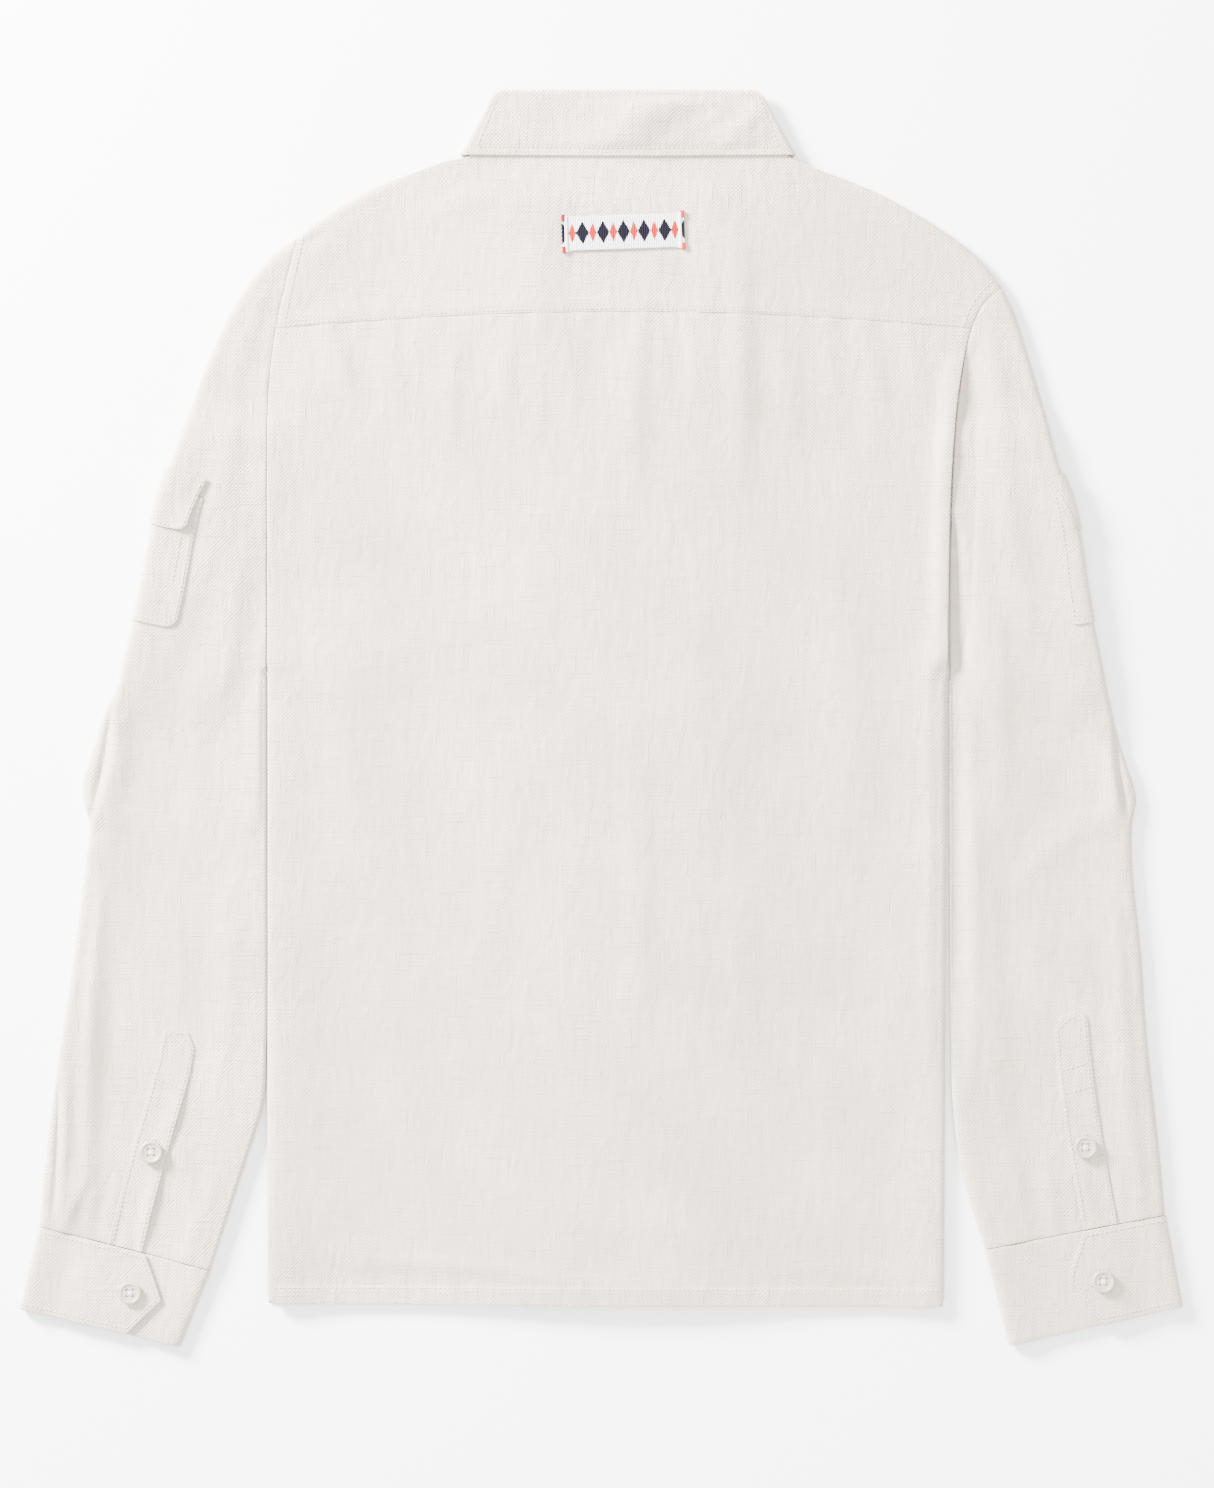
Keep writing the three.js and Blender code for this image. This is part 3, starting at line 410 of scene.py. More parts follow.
# Heights of the middles of the lower and upper layers. The upper one stands up beside a fold, comes down
# over foldReach, and both meet in a round edge of the fold's radius.
def layerRule(foldLines, ground, spare, soft, joins, extra=None):
    def heights(x, y):
        away = np.full(np.shape(x), np.inf)
        radii = np.full(np.shape(x), np.inf)  # the same distance, counted in that fold's own radii
        for line, radius in foldLines:
            reach = stretchDistance(line, x, y)
            away = np.minimum(away, reach)
            radii = np.minimum(radii, reach / radius)
        inner = np.maximum(away - layers["radius"], 0)
        puff = (layers["fold"] - layers["flat"]) * bell(inner, layers["foldReach"])
        spacing = layers["flat"] + puff * (1 - nearCollar(x, y)) + spare(x, y)
        base = ground(x, y) + cloth["thickness"] / 2
        fade = smoothstep(radii, 1, 3)
        rise = roundEdge(radii)
        roundness = np.clip((spacing - layers["flat"]) / (layers["fold"] - layers["flat"]), 0, 1)
        apart = mix(layers["flatSeam"], layers["roundSeam"], roundness) * (1 - rise)
        low = base + spacing / 2 * (1 - rise) - apart
        high = base + spacing / 2 * (1 + rise) + apart + fade * creaseHeight(soft, x, y)
        if extra is not None:
            high = high + fade * extra(x, y)
        for key, reach in joins.items():
            if key in seamHeights:
                high = joinArmhole(key, reach, x, y, high, away)
        return low, high
    return heights


print("stage 4: body")

# folds of the back and yoke, rows as creaseHeight takes them: gathers below the yoke seam, long folds down
# the panel, waves over the hem, and the ridges that stand beside the armholes
bodySoft = [
    (84, 296, 85, 150, 8, 1.6, 2), (72, 240, 70, 185, 7, -0.5, 0), (97, 240, 100, 190, 8, -0.5, 0),
    (25, 243, 22, 150, 7, 1.1, -2), (38, 243, 37, 205, 5, 0.8, 0), (54, 244, 56, 200, 6, 0.7, 0),
    (-23, 246, -20, 185, 7, 1.0, 2), (-57, 246, -60, 200, 6, 0.8, 0),
    (-88, 246, -93, 176, 7, 1.1, -2), (110, 246, 116, 172, 8, 1.0, 2),
    (139, 242, 143, 205, 6, 0.6, 0), (163, 242, 170, 172, 8, 1.0, 3),
    (-168, 240, -158, 205, 7, 1.5, 0), (-135, 240, -128, 196, 7, 0.7, 0),
    (190, 240, 196, 190, 7, 0.8, 0), (23, -20, 24, -190, 9, 0.8, 3), (87, -105, 88, -190, 9, 0.9, -2),
    (-60, -30, -78, -170, 12, 0.7, 5), (-150, -150, -108, -330, 14, 1.0, 8),
    (-170, 60, -160, -90, 14, 0.8, 6), (150, 120, 158, -60, 14, 0.8, -6),
    (178, -90, 170, -260, 12, 0.8, 5), (-40, 120, -46, 10, 13, 0.6, 4),
    (60, 90, 66, -40, 12, 0.6, -4), (-156, -338, -40, -344, 5, 0.7, 3),
    (-40, -346, 62, -350, 5, 0.6, -2), (96, -338, 178, -346, 6, 0.5, 2),
    (-120, 160, -60, 128, 14, 0.5, 5), (110, 20, 170, -10, 14, 0.5, 5),
    (-10, -240, 60, -280, 15, 0.5, -6), (-108, 322, -62, 339, 8, -0.8, 1),
    (-110, 312, -60, 329, 8, 0.7, 1), (-150, 285, -80, 300, 14, 0.6, 5),
    (130, 292, 190, 275, 14, 0.6, -5), (-60, 318, 0, 322, 11, 0.4, 3),
    (40, 326, 100, 318, 10, 0.4, 3), (-190, 236, -186, 140, 42, 2.0, 0),
    (-160, 80, -150, -80, 36, 1.8, 0), (-128, -70, -120, -210, 28, 1.2, 0),
    (150, 135, 156, -60, 24, 1.4, 0), (16, -5, 19, -195, 9, 0.9, 2),
    (143, -215, 148, -345, 20, 1.0, 0), (219, 212, 214, 150, 8, 4.2, 0),
    (214, 166, 211, 30, 7.5, 4.8, 0), (208, 40, 207.5, -205, 7, 2.2, 0),
    (20, 250, 15, 146, 12, 1.2, -2), (-190, -180, -186, -340, 26, 1.0, 0),
    (-60, 230, -64, 188, 8, 0.6, 0), (-30, 330, 30, 318, 16, 0.8, 2),
    (140, 318, 175, 300, 16, 0.8, 0), (-70, 330, -130, 305, 18, 0.7, 0),
    (-30, -300, 60, -318, 12, 0.8, -4), (-180, -330, -80, -338, 8, 0.7, 2),
]
bodyFolds = [(shoulders["left"].line, layers["radius"]), (shoulders["right"].line, layers["radius"]),
             (sides["left"].line, layers["tight"]), (sides["right"].line, layers["radius"])]
bodyLayers = layerRule(bodyFolds, bodyGround, spareOverStrip, bodySoft, seamRule["bodyReach"], bridge)
sleeveShapes = {
    "left": {
        "side": -1, "innerRadius": layers["tight"], "pocketReach": 60,
        "outer": [(-189, 297), (-205, 285), (-221, 266), (-232, 247), (-248, 210), (-261, 173), (-274, 136),
                  (-285, 80), (-294, 43), (-300, 18), (-307, 4), (-313, -13), (-321, -41), (-319.5, -55),
                  (-316.5, -66), (-319, -87), (-326, -143), (-337, -218), (-342, -255), (-348, -314)],
        "inner": [(-208.2, 27), (-208.0, -60), (-208.2, -199), (-210.5, -239), (-215, -255), (-227, -292),
                  (-243, -341)],
        # the elbow's bulge is a pleat: a sharp step just inside the outline, with a ridge beside it
        "pleat": [
            (-303, 10, -317, -62, 1.8, -1.5, 1.0), (-299, 8, -312, -62, 4.0, 1.5, 1.0),
            (-336, -226, -340, -306, 1.8, -1.7, 0.6), (-332, -222, -335, -306, 3.5, 1.4, 0.6),
            (-319, -284, -332, -312, 2.2, 0.9, 0),
        ],
        "soft": [
            (-226, 196, -262, 50, 9, 1.6, 4), (-210, 110, -214, -60, 7, 1.3, 3),
            (-240, 130, -262, 10, 9, -0.6, 0), (-305, 2, -314, -52, 4, -1.6, 2),
            (-296, 0, -306, -60, 6, 1.6, 2), (-300, -58, -250, -95, 9, 1.2, 5),
            (-312, -112, -318, -296, 5.5, 2.2, -2), (-300, -150, -306, -255, 6, -0.7, 0),
            (-232, -110, -240, -255, 8, 1.2, 3), (-270, -110, -262, -185, 11, 0.8, 5),
            (-248, 30, -244, -70, 11, 0.9, -5), (-286, 20, -262, -30, 10, 0.8, 4),
            (-199, 250, -205, 215, 4, -0.9, 0), (-210, 270, -224, 215, 8, 1.2, 3),
            (-222, 232, -206, 180, 6, 0.8, 2), (-322, -280, -333, -312, 5, 1.0, 0),
            (-262, -260, -254, -330, 6, 0.8, 2), (-240, -280, -250, -330, 5, 0.8, 0),
            (-300, -285, -305, -318, 4, 0.7, 0), (-312, -290, -318, -316, 4, 0.7, 0),
        ],
    },
    "right": {
        "side": 1, "innerRadius": 5.5, "pocketReach": 68,
        "outer": [(247, 267), (255, 250), (262, 229), (273, 192), (283, 154), (290, 136), (296, 108),
                  (300, 80), (307, 43), (314, 9), (321, -19), (330, -49), (327.5, -66), (328, -94),
                  (333, -143), (337, -199), (341, -236), (345, -273), (348, -307)],
        "inner": [(215.5, 24), (215.5, -60), (216.5, -199), (218, -242), (222, -273), (230, -304),
                  (238, -328)],
        "pleat": [
            (317, -4, 325, -60, 1.8, -1.4, -1.0), (313, -4, 320, -62, 4.0, 1.3, -1.0),
            (227, 218, 220, 60, 7.5, -3.2, -1), (220, 70, 220.5, -215, 6.0, -3.2, 0),
        ],
        "soft": [
            (246, 210, 264, 60, 9, 1.9, -4), (243, 60, 246, -60, 9, 1.6, 3),
            (226, 200, 222, 20, 6, -0.9, 0), (322, -14, 326, -56, 4, -1.5, 0),
            (313, -8, 318, -60, 6, 1.5, 2), (312, -60, 262, -100, 9, 1.2, -5),
            (318, -120, 326, -280, 6, 1.3, 2), (308, -150, 314, -250, 6, -0.6, 0),
            (242, -110, 252, -285, 8, 1.2, -3), (276, -110, 270, -190, 11, 0.8, -5),
            (262, 30, 258, -70, 11, 0.9, 5), (298, 20, 276, -30, 10, 0.8, -4),
            (240, 240, 250, 190, 7, 1.1, -2), (262, 200, 270, 160, 7, 0.8, 2),
            (228, -60, 230, -190, 6, 0.8, 2), (255, -270, 262, -322, 5, 0.9, 0),
            (330, -262, 336, -300, 5, 1.0, 0), (318, -270, 322, -304, 4, 0.7, 0),
            (276, -275, 280, -318, 5, 0.7, 0),
        ],
    },
}
sleeveLines = np.array([
    # shares down the outer and inner edges where each cross line starts
    (0, 0), (0.06, 0.012), (0.13, 0.03), (0.2, 0.06), (0.27, 0.1), (0.34, 0.15), (0.41, 0.21), (0.48, 0.28),
    (0.55, 0.36), (0.6, 0.43), (0.65, 0.5), (0.72, 0.6), (0.79, 0.7), (0.86, 0.8), (0.93, 0.9), (1, 1),
])
pocketUnder = {"rise": 3.6, "fade": 18, "bottom": (-15, 30), "top": (170, 200)}


# The pocket and flap under a sleeve lift it by two layers and their gaps, as far in as they reach
def pocketGround(outer, reach):
    rule = pocketUnder

    def ground(x, y):
        besideEdge = 1 - smoothstep(outer.distance(x, y), reach, reach + rule["fade"])
        return rule["rise"] * besideEdge * smoothstep(y, *rule["bottom"]) * (1 - smoothstep(y, *rule["top"]))
    return ground


# gathers over the cuff, the armhole's seam, and what a trough leaves over the layer below it
sleeveFine = {"depth": 0.3, "waves": 41, "drift": 13, "start": 0.9, "bend": 0.3, "ease": 0.15, "easeTo": 0.12,
              "leaves": 1.3}


class Sleeve:
    def __init__(self, key, shape, armhole):
        self.side = shape["side"]
        self.pleat = shape["pleat"]
        self.outer = Outline(shape["outer"], 90)
        self.inner = Outline(shape["inner"], 50)
        self.armhole = armhole
        folds = [(self.outer.line, layers["radius"]), (self.inner.line, shape["innerRadius"])]
        self.layers = layerRule(folds, pocketGround(self.outer, shape["pocketReach"]), lambda x, y: 0.0 * x,
                                shape["soft"], {key: seamRule["sleeveReach"][key]})

    def plan(self, share, along):
        lines = np.linspace(0, 1, len(sleeveLines))
        outer = self.outer.at(np.interp(along, lines, sleeveLines[:, 0]))
        inner = self.inner.at(np.interp(along, lines, sleeveLines[:, 1]))
        s = np.clip(share, 0, 1)[..., None]
        bend = self.armhole.at(s[..., 0]) - mix(self.armhole.at(0.0), self.armhole.at(1.0), s)
        fine = sleeveFine
        plan = mix(outer, inner, s) + bend * np.maximum(0, 1 - along / fine["bend"])[..., None]
        plan[..., 0] += self.side * fine["ease"] * np.maximum(0, 1 - along / fine["easeTo"])
        return plan

    # Gathers above the cuff and a slight pucker beside the armhole seam
    def fine(self, x, y, along, share):
        beside = smoothstep(np.minimum(share, 1 - share), 0.02, 0.12)
        fine = sleeveFine
        gather = fine["depth"] * np.sin(share * fine["waves"] + 2 * np.sin(share * fine["drift"]))
        gather = gather * smoothstep(along, fine["start"], 1.0)
        pucker = ripple(y, *puckers["armhole"]) * (1 - smoothstep(along, 0.0, 0.05))
        return beside * (gather + pucker) + creaseHeight(self.pleat, x, y)

    def around(self, across, along):
        over = across <= 1
        share = np.where(over, across, 3 - across)
        plan = self.plan(share, along)
        x, y = plan[..., 0], plan[..., 1]
        low, high = self.layers(x, y)
        least = np.minimum(high, low + sleeveFine["leaves"])
        high = np.maximum(high + self.fine(x, y, along, share), least)
        return withHeight(plan, np.where(over, high, low))

    def top(self, share, along):
        return self.around(np.minimum(share, 1), along)

    # A point reached from the outer edge: a share down it, and a distance in, above or below, square to
    # the edge's chord between the two given shares
    def wrapped(self, signed, share, start, end):
        plan = self.outer.at(share)
        chord = self.outer.at(end) - self.outer.at(start)
        chord = chord / np.linalg.norm(chord)
        plan[..., 0] += self.side * chord[1] * np.abs(signed)
        plan[..., 1] -= self.side * chord[0] * np.abs(signed)
        low, high = self.layers(plan[..., 0], plan[..., 1])
        z = np.where(signed > 0, high, low)
        return withHeight(plan, np.where(signed == 0, (low + high) / 2, z))


sleeves = {key: Sleeve(key, shape, armholes[key]) for key, shape in sleeveShapes.items()}
for key, sleeve in sleeves.items():
    x, y = armholes[key].line.T
    body, top = bodyLayers(x, y)[1], sleeve.layers(x, y)[1]
    level = np.maximum(body, top)
    if key == "right":  # here the body's edge stands up, and the sleeve falls steeply into a valley
        standing = smoothstep(y, 20, 60) * (1 - smoothstep(y, 200, 250))
        level = mix(level, body + seamRule["valleyEdge"], standing)
    seamHeights[key] = (-y, level)

hem = {"left": -362.0, "right": -364.0, "leftX": -207, "rightX": 211.5, "turnUp": 10.0,
       "corner": 6.0, "cornerShare": 0.85, "sideShare": 0.03, "rise": 0.75, "raised": (9.0, 12.0)}
# the yoke seam: its ends and middle, its gap, its groove, and the ridge of its turned edges
yoke = {"left": -202.0, "right": 229.0, "ends": 242.0, "middle": 252.0, "gap": 0.04,
        "groove": 0.25, "grooveWidth": 1.8, "turned": 0.35, "turnedAt": 5, "stitched": 0.1, "stitchedAt": 1.8}


def yokeSeam(share):
    bow = 1 - (2 * share - 1) ** 2
    x = mix(yoke["left"], yoke["right"], share)
    return np.stack([x, mix(yoke["ends"], yoke["middle"], bow)], axis=-1)


def bodyEdge(armhole, side, startShare, armpitShare):
    def edge(along):
        upper = armhole.at(mix(startShare, 1, along / armpitShare))
        lower = side.at((along - armpitShare) / (1 - armpitShare))
        return np.where((along <= armpitShare)[..., None], upper, lower)
    return edge


# Blends two pairs of opposite edges, less the blend of the four corners (a Coons patch)
def patch(top, bottom, left, right):
    def plan(u, v):
        a, b = u[..., None], v[..., None]
        zero, one = np.zeros(1), np.ones(1)
        edges = left(v) * (1 - a) + right(v) * a + top(u) * (1 - b) + bottom(u) * b
        corners = ((1 - a) * (1 - b) * top(zero) + a * (1 - b) * top(one)
                   + (1 - a) * b * bottom(zero) + a * b * bottom(one))
        return edges - corners
    return plan


softEdge = {"most": 0.45, "share": 0.38, "segments": 2, "angle": math.radians(50)}


# A sheet from a grid of points (rows, columns, 3) in mm, given its thickness by Solidify. Its UV map is
# the plan in metres, turned by the angle of its grain, so the weave keeps its size.
def gridMesh(name, points, thickness, ring=False, material=linen, faceUp=True, grain=0.0, origin=(0, 0),
             edge=softEdge["most"]):
    rows, columns = points.shape[:2]
    j, i = np.meshgrid(np.arange(rows - 1), np.arange(columns if ring else columns - 1), indexing="ij")
    corners = [(j, i), (j + 1, i), (j + 1, i + 1), (j, i + 1)]
    faces = np.stack([row * columns + column % columns for row, column in corners], axis=-1).reshape(-1, 4)
    middle = points.reshape(-1, 3)
    cos, sin = math.cos(grain), math.sin(grain)
    along, aside = middle[:, 0] - origin[0], middle[:, 1] - origin[1]
    plan = np.stack([along * cos + aside * sin, aside * cos - along * sin], axis=-1)
    uv = plan[faces]
    a, b, c = (middle[faces[:, k]] for k in (0, 1, 2))
    normals = np.cross(b - a, c - a)
    turned = (normals[:, 2].sum() < 0) == faceUp if not ring else (
        np.einsum("ij,ij->i", normals, a - middle.mean(axis=0)).sum() < 0)
    if turned:
        faces, uv = faces[:, ::-1], uv[:, ::-1]
    piece = meshPiece(name, middle, faces.tolist(), material)
    layer = piece.data.uv_layers.new(name="cloth")
    layer.data.foreach_set("uv", (uv * mm).reshape(-1))
    solid = piece.modifiers.new("thickness", "SOLIDIFY")
    solid.thickness = thickness * mm
    solid.offset = 0
    soft = piece.modifiers.new("soft edges", "BEVEL")
    soft.width = min(edge, thickness * softEdge["share"]) * mm
    soft.segments = softEdge["segments"]
    soft.limit_method = "ANGLE"
    soft.angle_limit = softEdge["angle"]
    soft.harden_normals = False
    return piece


def place(piece, nodes, slot="linen"):
    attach(piece, "root")
    if nodes:
        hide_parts(*nodes)
    return piece


# Stations from even spans: each (from, to, steps)
def spread(*spans):
    values = [np.linspace(start, stop, steps, endpoint=False) for start, stop, steps in spans]
    return np.concatenate(values + [[spans[-1][1]]])


def gridOf(surface, across, along):
    u, v = np.meshgrid(across, along)
    return surface(u, v)


def withHeight(plan, z):
    return np.concatenate([plan, z[..., None]], axis=-1)


def normalsOf(points):
    normal = np.cross(np.gradient(points, axis=0), np.gradient(points, axis=1))
    return normal / np.maximum(np.linalg.norm(normal, axis=2, keepdims=True), 1e-9)


armpitShare = 0.36
edgeStations = spread((0, 0.016, 6), (0.016, 0.06, 9))
bodyAcross = np.concatenate([edgeStations, np.linspace(0.06, 0.94, 160)[1:-1], 1 - edgeStations[::-1]])
yokeStart = {key: armholes[key].shareAtY(yoke["ends"]) for key in ("left", "right")}
backPlan = patch(
    yokeSeam,
    lambda u: np.stack([mix(hem["leftX"], hem["rightX"], u), mix(hem["left"], hem["right"], u)], axis=-1),
    bodyEdge(armholes["left"], sides["left"], yokeStart["left"], armpitShare),
    bodyEdge(armholes["right"], sides["right"], yokeStart["right"], armpitShare),
)


# Keeps a panel's sides clear of the sleeves' edges
def insideArmholes(plan, u):
    plan = plan.copy()
    plan[..., 0] += mix(seamRule["gap"], -seamRule["gap"], u)
    return plan


def backSurface(u, v):
    plan = insideArmholes(backPlan(u, v), u)
    plan[..., 1] -= yoke["gap"] * (v == 0)
    x, y = plan[..., 0], plan[..., 1]
    aboveHem = y - mix(hem["left"], hem["right"], u)
    fromSide = np.minimum(u, 1 - u)
    inset = cornerDrop(aboveHem, hem["corner"]) * hem["cornerShare"]
    plan[..., 0] += inset * np.maximum(0, 1 - fromSide / hem["sideShare"]) * np.where(u < 0.5, 1, -1)
    high = bodyLayers(x, y)[1]
    # the hem is turned up twice, so it stands higher than the panel above its stitching
    turnedUp = 1 - smoothstep(aboveHem, *hem["raised"])
    high += hem["rise"] * turnedUp * smoothstep(fromSide, 0.0, hem["sideShare"])
    # cloth drawn in by the stitches puckers gently beside them
    pucker = ripple(x, *puckers["hem"]) * bell(aboveHem - 13, 6.0)
    seamGap = yokeSeam(u)[..., 1] - y
    pucker += ripple(x, *puckers["belowYoke"]) * bell(seamGap - 5, 7.0)
    high += pucker - yoke["groove"] * bell(seamGap, yoke["grooveWidth"])
    return withHeight(plan, high)


backAlong = np.concatenate([spread((0, 0.02, 8), (0.02, 0.955, 218)), np.linspace(0.955, 1, 22)[1:]])
place(gridMesh("back-panel", gridOf(backSurface, bodyAcross, backAlong), cloth["thickness"], edge=0.15),
      ["back_panel"])

neckShare = {"left": 0.26, "right": 0.72}
collarShape = {
    "seamBackY": 356.3, "seamSideY": 353.0, "seamSide": 95.0,
    "topY": 387.0, "topSide": 80.0, "cornerRadius": 11.0, "standCorner": 8.0,
    "leafBackY": 348.6, "leafSideY": 349.2, "leafSide": 103.4, "leafTopSide": 86.2,
    "frontSeam": (62, 296, -15, 279), "frontTop": (52, 330, -13, 310),
    "frontLeaf": (88, 335, 48, 250), "frontLeafTop": (54, 332, 1, 314),
    # the lower layer's height, the spacing of the layers and the radius of the side fold
    "standLevels": (2.5, 2.3, 2), "leafLevels": (0.8, 5.7, 4),
    "hook": 1.7,  # how far the leaf's top turns over towards the stand
    "groove": 0.3, "grooveAt": 0.12, "grooveWidth": 0.03,  # the leaf's stitched line, in shares of its height
}


def yokeTop(share):
    left = shoulders["left"].at(share / neckShare["left"])
    right = shoulders["right"].at((1 - share) / (1 - neckShare["right"]))
    alongNeck = np.clip((share - neckShare["left"]) / (neckShare["right"] - neckShare["left"]), 0, 1)
    bow = 1 - (2 * alongNeck - 1) ** 2
    neck = np.stack([centreX + mix(-1, 1, alongNeck) * collarShape["seamSide"],
                     mix(collarShape["seamSideY"], collarShape["seamBackY"], bow) - 0.3], axis=-1)
    above = np.where((share < neckShare["left"])[..., None], left, neck)
    return np.where((share > neckShare["right"])[..., None], right, above)


yokePlan = patch(
    yokeTop, yokeSeam,
    lambda v: armholes["left"].at(v * yokeStart["left"]),
    lambda v: armholes["right"].at(v * yokeStart["right"]),
)


def yokeSurface(u, v):
    plan = insideArmholes(yokePlan(u, v), u)
    plan[..., 1] += yoke["gap"] * (v == 1)
    x, y = plan[..., 0], plan[..., 1]
    high = bodyLayers(x, y)[1]
    aboveSeam = y - yokeSeam(u)[..., 1]
    # the seam's turned edges raise the yoke, its stitches draw a small groove, and it puckers above them
    high += (yoke["turned"] * bell(aboveSeam - yoke["turnedAt"], 5.0)
             - yoke["stitched"] * bell(aboveSeam - yoke["stitchedAt"], 1.0))
    high += ripple(x, *puckers["yoke"]) * bell(aboveSeam - 9, 6.0)
    return withHeight(plan, high)


yokeAlong = spread((0, 0.03, 8), (0.03, 0.09, 6), (0.09, 0.88, 30), (0.88, 1, 14))
yokeAcross = spread((0, 0.24, 44), (0.24, 0.27, 10), (0.27, 0.71, 76), (0.71, 0.74, 10), (0.74, 1, 46))
place(gridMesh("yoke-panel", gridOf(yokeSurface, yokeAcross, yokeAlong), cloth["thickness"], edge=0.15),
      ["yoke"])


# A front half of the collar's edge: a quadratic curve from the side fold to its end
def frontCurve(side, startX, startY, curve):
    bendX, bendY, endX, endY = curve

    def at(share):
        a, b, c = (1 - share) ** 2, 2 * share * (1 - share), share ** 2
        return np.stack([centreX + side * (a * startX + b * bendX + c * endX),
                         a * startY + b * bendY + c * endY], axis=-1)
    return at


# the fronts' half overlap, where the armhole and the neck end on their edges, the neck's gap and the hem
frontShape = {"overlapHalf": 17.0, "armpitShare": 0.41, "neckStart": 0.5, "neckGap": 0.5, "hemY": -363.0}


# The right front lies over the left one's strip
def overlapRise(side, x):
    rise = strip["spare"] * (1 - smoothstep(x - centreX, strip["half"], strip["spareReach"]))
    return rise if side > 0 else 0.0 * x


def frontSurface(side, key):
    neck = frontCurve(side, collarShape["seamSide"], collarShape["seamSideY"], collarShape["frontSeam"])
    centreEdge = centreX - side * frontShape["overlapHalf"]
    start = frontShape["neckStart"]
    hemCorner = sides[key].at(1.0)

    def top(u):
        shoulder = shoulders[key].at(u / start)
        share = np.clip((u - start) / (1 - start), 0, 1)
        at = neck(share)
        at[..., 0] += side * frontShape["neckGap"] * (1 - share)
        at[..., 1] -= frontShape["neckGap"]
        return np.where((u < start)[..., None], shoulder, at)

    def bottom(u):
        return np.stack([mix(hemCorner[0], centreEdge, u), mix(hemCorner[1], frontShape["hemY"], u)], axis=-1)

    def centre(v):
        endX, endY = neck(1.0)
        y = mix(endY - frontShape["neckGap"], frontShape["hemY"], v)
        return np.stack([mix(endX, centreEdge, v), y], axis=-1)

    plan = patch(top, bottom, bodyEdge(armholes[key], sides[key], 0, frontShape["armpitShare"]), centre)

    def surface(u, v):
        at = plan(u, v)
        at[..., 0] -= side * 0.4 * (1 - u)
        low = bodyLayers(at[..., 0], at[..., 1])[0] + overlapRise(side, at[..., 0])
        return withHeight(at, low)
    return surface


for key, side in (("left", -1), ("right", 1)):
    across = spread((0, 0.06, 8), (0.06, 0.46, 24), (0.46, 1, 30))
    along = spread((0, 0.03, 8), (0.03, 0.46, 50), (0.46, 1, 50))
    points = gridOf(frontSurface(side, key), across, along)
    place(gridMesh(f"{key}-front", points, cloth["thickness"], faceUp=False), [f"{key}_front"])

print("stage 5: collar")


def collarHeight(fromFold, inFront, levels):
    low, spacing, radius = levels
    rise = roundEdge(fromFold / radius)
    return np.where(inFront, low + spacing / 2 * (1 - rise), low + spacing / 2 * (1 + rise))


# One edge of a collar band. Its way runs from -1 at the left front end, over the side folds at -0.5 and
# 0.5 and the middle of the back at 0, to 1 at the right front end.
def collarEdge(way, backY, sideX, sideY, frontHalf):
    side = np.where(way < 0, -1.0, 1.0)
    reach = np.abs(way)
    bow = 1 - (2 * np.minimum(reach, 0.5)) ** 2
    back = np.stack([centreX + side * 2 * reach * sideX, mix(sideY, backY, bow)], axis=-1)
    right = frontCurve(1, sideX, sideY, frontHalf)(np.clip(2 * reach - 1, 0, 1))
    right[..., 0] = centreX + side * (right[..., 0] - centreX)
    return np.where((reach > 0.5)[..., None], right, back)


def standSurface(way, up):
    c = collarShape
    foot = collarEdge(way, c["seamBackY"], c["seamSide"], c["seamSideY"], c["frontSeam"])
    head = collarEdge(way, c["topY"], c["topSide"], c["topY"], c["frontTop"])
    fromFold = np.abs(np.abs(way) - 0.5) * 2 * c["seamSide"]
    head[..., 1] -= cornerDrop(fromFold, c["standCorner"])
    plan = mix(foot, head, up[..., None])
    inFront = np.abs(way) > 0.5
    z = collarHeight(fromFold, inFront, c["standLevels"])
    x, y = plan[..., 0], plan[..., 1]
    lift = np.maximum(0, bodyGround(x, y) + cloth["thickness"] / 2 - c["standLevels"][0])
    lift = lift + np.where(way > 0, overlapRise(1, x), 0) * smoothstep(fromFold, 5, 30)
    return withHeight(plan, z + np.where(inFront, lift, 0))


halfWays = spread((-1, -0.53, 60), (-0.53, -0.5, 12), (-0.5, -0.47, 12), (-0.47, 0, 60))
ways = np.concatenate([halfWays, -halfWays[-2::-1]])
place(gridMesh("collar-stand", gridOf(standSurface, ways, np.linspace(0, 1, 12)), cloth["thickness"]),
      ["collar_stand"])


leafSoft = [
    (6, 386, 34, 352, 15, 1.0, 3), (66, 384, 84, 356, 9, 0.7, -2), (-52, 384, -40, 354, 12, 0.6, 0),
    (40, 382, 52, 366, 6, 0.4, 0), (2, 388, 8, 352, 30, 0.8, 0), (4, 358, 64, 392, 13, 2.8, 2),
    (72, 350, 106, 384, 8, 2.0, 0), (86, 350, 108, 372, 4, 0.5, 0), (36, 352, 80, 378, 5, 0.7, 0),
    (50, 352, 88, 370, 4, 0.5, 0),
]


